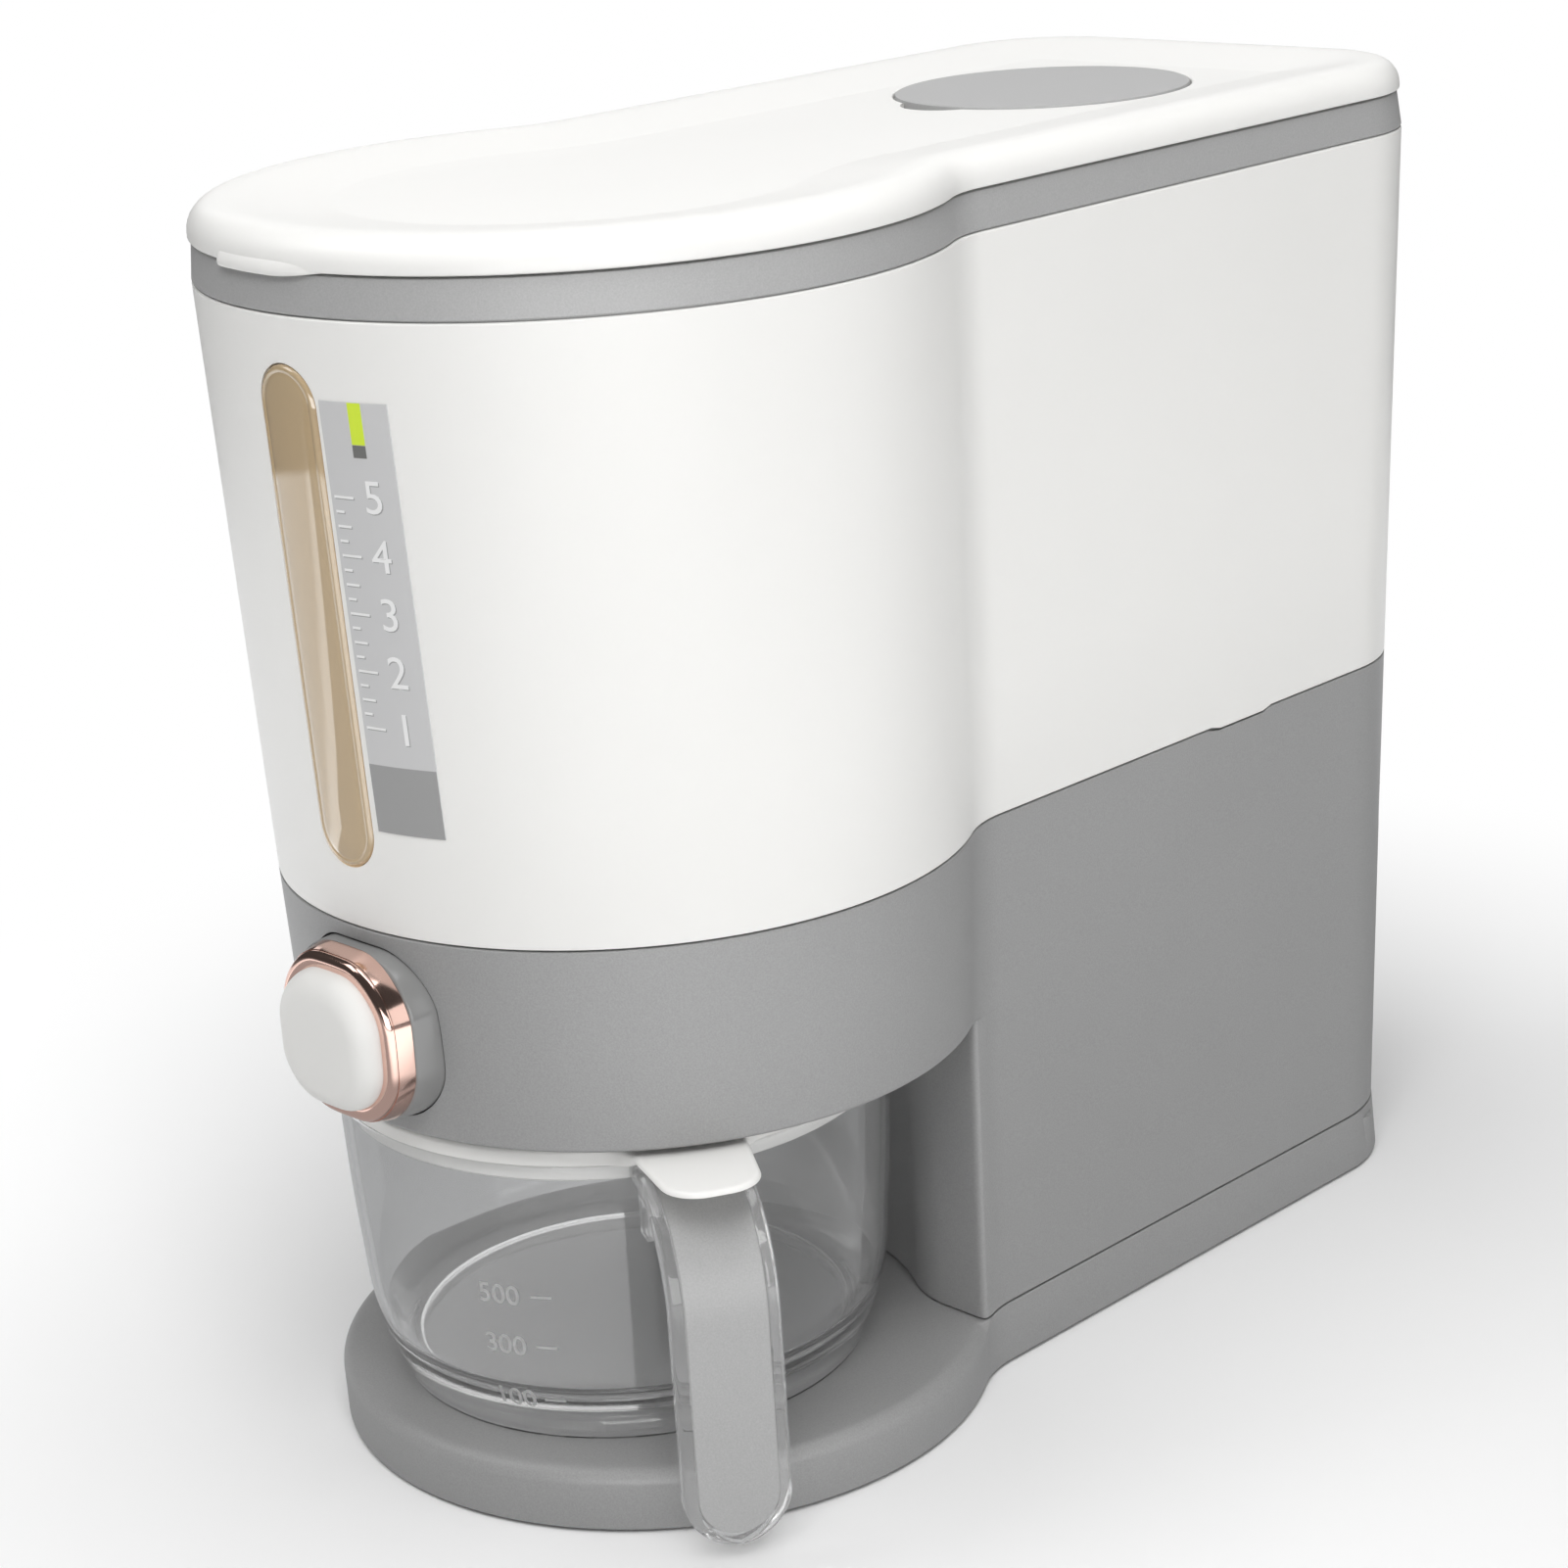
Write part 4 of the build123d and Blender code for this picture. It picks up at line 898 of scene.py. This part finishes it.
def bowl_section():
    """The bowl's section: below the floor, the foot's skirt, the outer side, the round rim,
    the inner side and the floor.

    The inner side is the outer one moved in along its normals by the wall's thickness."""
    outer = smooth_curve(BOWL_OUTSIDE)
    inner = (outer + CUP_WALL * inward(np.gradient(outer, axis=0)))[::-1]
    floor = CUP_FLOOR
    inner = inner[inner[:, 1] > floor + 7.0]
    rim_out, rim_low = BOWL_OUTSIDE[-1]
    angle = np.linspace(0, math.pi, 9)[1:-1]
    rim = stack(rim_out - CUP_WALL / 2 + CUP_WALL / 2 * np.cos(angle),
        rim_low + (CUP_RIM - rim_low) * np.sin(angle))
    corner = smooth_curve([inner[-1], (56.6, floor + 3.4), (53.5, floor + 1.0), (48.0, floor + 0.1),
        (40.0, floor)], 8)
    below = smooth_curve([(42.0, floor - 1.8), (48.0, floor - 1.9), (52.3, floor - 2.8),
        (SKIRT_INSIDE, floor - 6.0), (SKIRT_INSIDE + 0.1, SKIRT_FOOT + 0.5)])
    return np.vstack([[(4.0, floor - 1.8)], below, [(54.7, SKIRT_FOOT), (56.1, SKIRT_FOOT)], outer, rim,
        inner, corner[1:], [(4.0, floor)]])


moulding("measuring_cup_bowl", [solid(turned(0.0, CUP_Y, bowl_section(), 160))], CLEAR_BOWL, "cup",
    ("measuring_cup",))


def on_bowl(shape, azimuth, level):
    """A thin shape laid on the bowl's outside at an azimuth in degrees and a level."""
    points, faces = shape
    height = level + points[:, 1]
    radius = np.interp(height, BOWL_OUTSIDE[:, 1], BOWL_OUTSIDE[:, 0]) + MARKS_PROUD + points[:, 2]
    turn = math.radians(azimuth) + points[:, 0] / radius
    return stack(radius * np.sin(turn), CUP_Y - radius * np.cos(turn), height), faces


graduation = []
for grams, level in ((500, 55.4), (300, 42.2), (100, 27.5)):
    graduation.append(on_bowl(numerals(str(grams), 5.0, 0.3), 21.0, level))
    graduation.append(on_bowl(dash(5.0, 0.5, 0.3), 28.0, level + 0.4))
moulding("cup_graduation", graduation, MARKS, "cup")

# Cup handle: a clear strap moulded to the bowl's rim. It runs level, turns down in one
# large bend and ends round, with a grey inlay in its outer face.
HANDLE_ANGLE = 61.5
HANDLE_BEND = 27.0
HANDLE_REACH = 93.5
HANDLE_HALF = 12.5
HANDLE_END = 6.0
HANDLE_THICK = 5.0
INLAY_HALF = 9.5
INLAY_THICK = 1.6
WEB_ACROSS = 9.0
ROOT_CORNERS = ((60.2, 87.2), (60.2, 70.0), (66.1, 70.0), (70.6, 78.0), (80.0, 82.0), (80.0, 84.0))
quarter = HANDLE_BEND * math.pi / 2
bend_out = HANDLE_REACH - HANDLE_BEND
bend_up = CUP_RIM - 0.7 - HANDLE_BEND
strap_long = quarter + bend_up - HANDLE_END


def handle_point(reach, across, height):
    """Points by their reach from the cup's axis toward the handle, across it, and up."""
    turn = math.radians(HANDLE_ANGLE)
    return stack(reach * math.sin(turn) + across * math.cos(turn),
                 CUP_Y - reach * math.cos(turn) + across * math.sin(turn), height)


def strap_point(distance, across, depth):
    """A strap point by distance along its outer face from the bend's start, across it and in from it.

    Before the bend the strap is level, then a quarter circle, then straight down."""
    angle = np.clip(distance, 0, quarter) / HANDLE_BEND
    out, up = np.sin(angle), np.cos(angle)
    reach = bend_out + HANDLE_BEND * out + np.minimum(distance, 0) - depth * out
    height = bend_up + HANDLE_BEND * up - np.maximum(distance - quarter, 0) - depth * up
    return handle_point(reach, across, height)


def strap_rows(half, start, section, end_gap=0.0):
    """Cross sections along the strap: its width follows a half circle at the round end.

    The section is a list of side, inset and depth."""
    end = strap_long - end_gap
    side, inset, depth = np.array(section, float).T
    straight = np.linspace(start, end - half, 70)
    turn = quarter_turn(18)[1:-1]
    stations = np.concatenate([straight, end - half + half * np.sin(turn), [end - 0.02]])
    widths = np.concatenate([np.full(len(straight), half), half * np.cos(turn), [half * 0.04]])
    return [strap_point(distance, np.copysign(np.maximum(width - inset, 0.0), side), depth)
            for distance, width in zip(stations, widths)]


def strap_section(half_gap, recess):
    """The clear strap's section: rounded outer corners, and a shallow recess for the inlay."""
    right = [(1, inset, depth) for inset, depth in ((0.0, 1.2), (0.1, 0.7), (0.35, 0.35), (0.7, 0.1),
        (1.2, 0.0), (half_gap - 0.3, 0.0), (half_gap, 0.3), (half_gap, recess))]
    back = [(1, 1.0, HANDLE_THICK), (1, 0.3, HANDLE_THICK - 0.3), (1, 0.0, HANDLE_THICK - 1.0)]
    return right + mirrored(right) + mirrored(back) + back


def mirrored(points):
    """Section points on the other side, in the opposite order."""
    return [(-side, inset, depth) for side, inset, depth in points[::-1]]


moulding("cup_handle_strap", [solid(strap_rows(HANDLE_HALF, -3.5,
    strap_section(HANDLE_HALF - INLAY_HALF, INLAY_THICK)))], CLEAR, "cup")
root_outline = np.vstack([ROOT_CORNERS[:3], smooth_curve(ROOT_CORNERS[2:5], 8)[1:], ROOT_CORNERS[5:]])


def root_web(across):
    """A thin web under the strap's root, from the bowl's wall, with a narrow bevel on both sides."""
    middle = root_outline.mean(axis=0)
    rows = []
    for side, shrink in ((-1.3, 0.985), (-1.0, 1.0), (1.0, 1.0), (1.3, 0.985)):
        reach, height = (middle + (root_outline - middle) * shrink).T
        rows.append(handle_point(reach, across + side, height))
    return solid(rows)


moulding("cup_handle_roots", [root_web(-WEB_ACROSS), root_web(WEB_ACROSS)], CLEAR, "cup")
inlay_edge = [(1, 0.0, 0.5), (1, 0.06, 0.2), (1, 0.3, 0.02)]
inlay_section = inlay_edge + mirrored(inlay_edge) + [(-1, 0.0, INLAY_THICK - 0.05),
    (1, 0.0, INLAY_THICK - 0.05)]
moulding("cup_handle_inlay", [solid(strap_rows(INLAY_HALF - 0.06, 7.0, inlay_section,
    HANDLE_HALF - INLAY_HALF))], GREY_TRIM, "cup", ("handle_inlay",))

# Cup lid: a white ring with a wide opening under the outlet, a plug ring inside the bowl,
# and a rounded tab over the handle to push it off by.
CUP_LID_LOW = 89.3
CUP_LID_TOP = 93.2
CUP_LID_RADIUS = 66.8
CUP_LID_HOLE = 46.0
CUP_LID_UNDER = 90.8
CUP_PLUG_FOOT = 84.5
TAB_REACH = 95.3
TAB_ROOT = 13.6
TAB_TIP = 10.4
TAB_UNDER = 92.0


def lid_contour():
    """The lid's outline about its own axis: a circle, with a tapered tab joined to it by hollow rounds."""
    half = math.asin(TAB_ROOT / CUP_LID_RADIUS)
    circle = CUP_LID_RADIUS * arc(np.linspace(half, 2 * math.pi - half, 61))
    corners = np.vstack([[(TAB_REACH, -TAB_TIP), (TAB_REACH, TAB_TIP)], circle])
    path = rounded(corners, [8.8, 8.8, 9.0] + [0] * (len(circle) - 2) + [9.0], 12)
    closed = evenly(np.vstack([path, path[:1]]), 361)[:-1]
    turn = math.radians(HANDLE_ANGLE - 90)
    return closed @ np.array([[math.cos(turn), math.sin(turn)], [-math.sin(turn), math.cos(turn)]])


def cup_lid_rows():
    """Up the edge, over its round, across the top to the opening, back under, and round the plug ring."""
    contour = lid_contour()
    normals = inward(np.roll(contour, -1, 0) - np.roll(contour, 1, 0))
    far = np.linalg.norm(contour, axis=1)
    tab = smooth_step(far, CUP_LID_RADIUS + 0.5, CUP_LID_RADIUS + 8.0) * (TAB_UNDER - CUP_LID_LOW)
    rows = []
    for inset, height in ((0.3, CUP_LID_LOW), (0.0, CUP_LID_LOW + 0.3), (0.0, 92.0), (0.1, 92.5),
            (0.35, 92.9), (0.75, 93.15), (1.2, CUP_LID_TOP), (2.2, CUP_LID_TOP)):
        lift = tab if height < CUP_LID_LOW + 1 else 0.0
        rows.append(at_height(contour + inset * normals + [0.0, CUP_Y], height + lift))
    hole, top, under, foot = CUP_LID_HOLE, CUP_LID_TOP, CUP_LID_UNDER, CUP_PLUG_FOOT
    for radius, height in ((60.0, top), (hole + 1.0, top), (hole + 0.5, top - 0.1), (hole + 0.1, top - 0.5),
            (hole, top - 0.9), (hole, under + 0.2), (hole + 0.3, under), (61.2, under), (61.4, under - 0.2),
            (61.4, foot + 0.4), (61.7, foot), (63.1, foot), (63.4, foot + 0.4), (63.4, CUP_LID_LOW)):
        rows.append(at_height(contour / far[:, None] * radius + [0.0, CUP_Y], height))
    return rows


moulding("cup_lid_ring", [ring(cup_lid_rows())], WHITE_BODY, "cup", ("cup_lid",))

# Push button: a glossy grey surround seated in the shell, a rose metal ring round it, and
# a soft white pad that presses in against its spring. Each outline is half its width, half
# its height, its corner's radius and the bulge of its sides.
BUTTON_Z = 119.4
PAD_OUTLINE = (16.0, 16.0, 11.5, 0.9)
BEZEL_OUTLINE = (19.3, 19.3, 12.6, 1.6)
HOUSING_OUTLINE = (21.5, 20.3, 13.2, 1.2)
PAD_FRONT = -97.3
PAD_BACK = -81.0
BEZEL_FRONT = -91.3
BEZEL_BACK = -82.6
HOUSING_FRONT = -85.6
HOUSING_STEP = -77.5
HOUSING_BACK = -63.5
BUTTON_CUT = (-40.0, -100.0)


def cushion(half_x, half_z, corner, bulge, inset):
    """A rounded rectangle whose sides bow out: a half width grows by bulge * (1 - t^2) along its side."""
    a, b, r = half_x - bulge - inset, half_z - bulge - inset, max(corner - inset, 0.3)
    first = np.vstack([stack(a, np.linspace(0, b - r, 10)[:-1]), arc(quarter_turn(30), r, a - r, b - r),
                       stack(np.linspace(a - r, 0, 10)[1:], b)])
    shape = np.vstack([first, first[-2::-1] * [-1, 1], first[1:] * [-1, -1], first[-2:0:-1] * [1, -1]])
    x, z = shape.T
    return stack(x * (1 + bulge / a * (1 - (z / b)**2)), z * (1 + bulge / b * (1 - (x / a)**2)))


def button_rows(section, size):
    """Loops of a cushion stood up about the button's axis: inset and depth pairs carried round it."""
    rows = []
    for inset, y in section:
        x, z = cushion(*size, inset).T
        rows.append(stack(x, y, z + BUTTON_Z))
    return rows


def quarter_round(y, radius, steps):
    """Inset and depth of a quarter round from the side to a front at y."""
    return [(radius * (1 - math.cos(a)), y + radius * (1 - math.sin(a))) for a in quarter_turn(steps)]


WHITE_PAD = plastic("soft_white_pad", (0.80, 0.795, 0.775), 0.46, 0.6, 0.1, 0.01)
pad_section = [(3.0, PAD_BACK), (0.3, PAD_BACK), (0.0, PAD_BACK - 0.3)]
pad_section += quarter_round(PAD_FRONT + 0.35, 5.5, 14) + [(6.6, PAD_FRONT + 0.3)]
pad_rows = button_rows(pad_section, PAD_OUTLINE)
pad_edge = pad_rows[-1]
for share, lift in ((0.8, 0.18), (0.55, 0.08), (0.3, 0.02), (0.05, 0.0)):
    pad_loop = pad_edge.mean(axis=0) + (pad_edge - pad_edge.mean(axis=0)) * share
    pad_loop[:, 1] = PAD_FRONT + lift
    pad_rows.append(pad_loop)
moulding("button_pad_cushion", [solid(pad_rows)], WHITE_PAD, "button", ("button_pad",))

ROSE = plastic("rose_metal_plating", (0.82, 0.56, 0.48), 0.08, grain_depth=0.0, blotch=0.03, Metallic=1.0)
bezel_section = [(3.7, BEZEL_BACK), (3.7, BEZEL_FRONT + 0.6), (3.5, BEZEL_FRONT + 0.2), (3.0, BEZEL_FRONT),
                 (2.1, BEZEL_FRONT)]
bezel_section += quarter_round(BEZEL_FRONT, 1.9, 16)[::-1]
bezel_section += [(-0.15, BEZEL_FRONT + 1.8), (-1.1, HOUSING_FRONT - 0.2), (-1.1, HOUSING_FRONT),
                  (2.0, HOUSING_FRONT), (2.0, BEZEL_BACK)]
moulding("button_bezel_ring", [ring(button_rows(bezel_section, BEZEL_OUTLINE))], ROSE, "dispenser",
    ("button_bezel",))
GLOSS_GREY = plastic("polished_grey_plastic", (0.25, 0.25, 0.248), 0.12, 0.6, 0.05, 0.02)
housing_section = [(4.7, HOUSING_BACK), (4.7, HOUSING_FRONT), (1.0, HOUSING_FRONT),
    (0.75, HOUSING_FRONT + 0.15), (0.55, HOUSING_FRONT + 0.5), (0.0, HOUSING_FRONT + 5.5),
    (0.0, HOUSING_STEP), (2.7, HOUSING_STEP), (2.7, HOUSING_BACK)]
moulding("button_surround", [ring(button_rows(housing_section, HOUSING_OUTLINE))], GLOSS_GREY, "dispenser",
         ("button_housing",))
cut_away(shell, [solid(button_rows([(-0.3, BUTTON_CUT[0]), (-0.3, BUTTON_CUT[1])], HOUSING_OUTLINE))])

# Studio: the photograph's camera, eight soft lamps and cards, each for the kinds of light
# it is needed in, a white room, and a white floor that mirrors as a grey tabletop.
CAMERA = Vector((595.7, -524.6, 413.6)) * MM
AZIMUTH, ELEVATION, ROLL = 45.957, 18.315, -3.562
FOCAL_PIXELS, IMAGE_PIXELS = 3615.16, 1601.0
SENSOR = 36.0
WHITE = (1, 1, 1, 1)
BODY = (0.0, 0.07, 0.15)


def aim_camera():
    """Camera at the photograph's place: back is its direction from the object, rolled about it."""
    azimuth, elevation, roll = (math.radians(value) for value in (AZIMUTH, ELEVATION, ROLL))
    back = Vector((math.sin(azimuth) * math.cos(elevation), -math.cos(azimuth) * math.cos(elevation),
        math.sin(elevation)))
    right = (-back).cross(Vector((0, 0, 1))).normalized()
    up = right.cross(-back)
    rolled_right = right * math.cos(roll) + up * math.sin(roll)
    rolled_up = up * math.cos(roll) - right * math.sin(roll)
    data = bpy.data.cameras.new("camera")
    data.sensor_width = SENSOR
    data.lens = FOCAL_PIXELS / IMAGE_PIXELS * SENSOR
    camera = placed("camera", data)
    camera.matrix_world = Matrix((rolled_right, rolled_up, back)).transposed().to_4x4()
    camera.location = CAMERA
    bpy.context.scene.camera = camera


aim_camera()


def soft_lamp(name, place, target, wide, tall, power, kinds="dgt"):
    """A rectangular area lamp that faces its target, for diffuse, glossy and transmitted light as asked."""
    data = bpy.data.lights.new(name, "AREA")
    data.shape = "RECTANGLE"
    data.size, data.size_y, data.energy = wide, tall, power
    lamp = placed(name, data)
    lamp.rotation_euler = (Vector(place) - Vector(target)).to_track_quat("Z", "Y").to_euler()
    lamp.location = place
    lamp.visible_camera = False
    lamp.visible_diffuse, lamp.visible_glossy, lamp.visible_transmission = (kind in kinds for kind in "dgt")


soft_lamp("key_lamp", (0.80, -0.72, 1.42), BODY, 1.0, 0.8, 15.8, "dt")
soft_lamp("sheen_lamp", (1.05, -0.90, 0.30), BODY, 1.5, 0.6, 9, "g")
soft_lamp("left_lamp", (-0.85, -0.9, 1.65), BODY, 0.9, 0.9, 6)
soft_lamp("left_card", (-0.42, -0.14, 0.09), (-0.05, 0.0, 0.09), 0.5, 0.14, 0.5, "d")
soft_lamp("right_card", (1.3, -0.30, 0.25), BODY, 0.8, 0.4, 2.0, "d")
soft_lamp("side_lamp", (1.6, 0.45, 0.6), BODY, 0.9, 0.9, 2.9)
soft_lamp("back_card", (-0.95, 1.05, 0.70), (0.0, 0.07, 0.295), 1.6, 0.5, 2.4, "g")
soft_lamp("top_lamp", (0.1, 0.1, 1.6), BODY, 1.0, 1.0, 10.5)

world = bpy.data.worlds.new("white_room")
bpy.context.scene.world = world
world.use_nodes = True
sky = world.node_tree
fill(sky, sky.nodes["Background"], {"Color": WHITE, "Strength": 0.07})
seen, room = (shade(sky, "Background", {"Color": WHITE, "Strength": strength}) for strength in (1.0, 0.06))
sky_direct, sky_mirrored = ray_kinds(sky)
lit = mixed(sky, sky_mirrored, sky.nodes["Background"].outputs[0], room)
fill(sky, sky.nodes["World Output"], {"Surface": mixed(sky, sky_direct, lit, seen)})


def white_floor():
    """White paper near the object, where its shadow falls, that fades into plain white further out.

    In mirrors it is a grey tabletop with a bright sheet to the left and another to the right, and it
    ends in front of the object, with a dark room beyond."""
    material, tree, paper = new_material("white_paper", Base_Color=(0.92, 0.92, 0.92, 1), Roughness=0.8,
                                         Specular_IOR_Level=0.2)
    place = shade(tree, "TexCoord", output="Object")
    from_middle = shade(tree, "VectorMath", {0: place, 1: (0.0, 0.07, 0.0)}, "Value", operation="DISTANCE")
    direct, glossy = ray_kinds(tree)
    far = maths(tree, "MULTIPLY", ramp(tree, from_middle, 0.16, 0.42, 0.0, 1.0, "SMOOTHSTEP"), direct)
    near = mixed(tree, far, paper.outputs[0], shade(tree, "Emission", {"Color": WHITE, "Strength": 1.0}))

    def sheet(direction, start, full, before, strength):
        """Brightness that rises from start to full metres along a direction on the floor."""
        along = shade(tree, "VectorMath", {0: place, 1: direction}, "Value", operation="DOT_PRODUCT")
        return ramp(tree, along, start, full, before, strength, "SMOOTHSTEP")

    left = maths(tree, "ADD", sheet((-1.0, 0.395, 0.0), 0.215, 0.222, 0.45, 1.6),
                 sheet((-1.0, 0.395, 0.0), 0.26, 0.33, 0.0, -0.6))
    sheets = maths(tree, "ADD", left, sheet((0.95, -0.31, 0.0), 0.12, 0.36, 0.0, 1.5))
    light = maths(tree, "MULTIPLY", sheets, ramp(tree, from_middle, 0.995, 1.01, 1.0, 0.15))
    table = shade(tree, "Emission", {"Color": (0.98, 0.99, 1.0, 1), "Strength": light})
    fill(tree, tree.nodes["Material Output"], {"Surface": mixed(tree, glossy, near, table)})
    return material


floor_mesh = bpy.data.meshes.new("floor")
reach = 6.0
floor_mesh.from_pydata([(-reach, -reach, 0), (reach, -reach, 0), (reach, reach, 0), (-reach, reach, 0)], [],
    [(0, 1, 2, 3)])
floor_mesh.materials.append(white_floor())
floor = placed("floor", floor_mesh)

bpy.context.scene.view_settings.view_transform = "Standard"

# Pieces carried over from the CAD as they are: the feet, screws, spring, valve, chute,
# seal and basket, which hardly show. Only their materials are set here.
INNER_WHITE = plastic("inner_white_plastic", (0.80, 0.80, 0.79), 0.45, 0.6, 0.3, 0.02)
STEEL = plastic("zinc_plated_steel", (0.62, 0.62, 0.60), 0.30, 0.4, 0.3, 0.05, Metallic=1.0)
RUBBER = plastic("black_rubber", (0.03, 0.03, 0.03), 0.65, 0.5, 0.6, 0.05)
SILICONE = plastic("clear_grey_silicone", (0.66, 0.66, 0.64), 0.5, 0.5, 0.3, 0.02)
for finish, nodes in ((RUBBER, ("rubber_feet",)), (SILICONE, ("lid_seal",)),
        (STEEL, ("base_screws", "hopper_screws", "return_spring", "slide_screw", "chute_screws")),
        (INNER_WHITE, ("gate_slide", "outlet_chute", "absorber_basket"))):
    for node in nodes:
        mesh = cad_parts[node].data
        mesh.materials.clear()
        mesh.materials.append(finish)
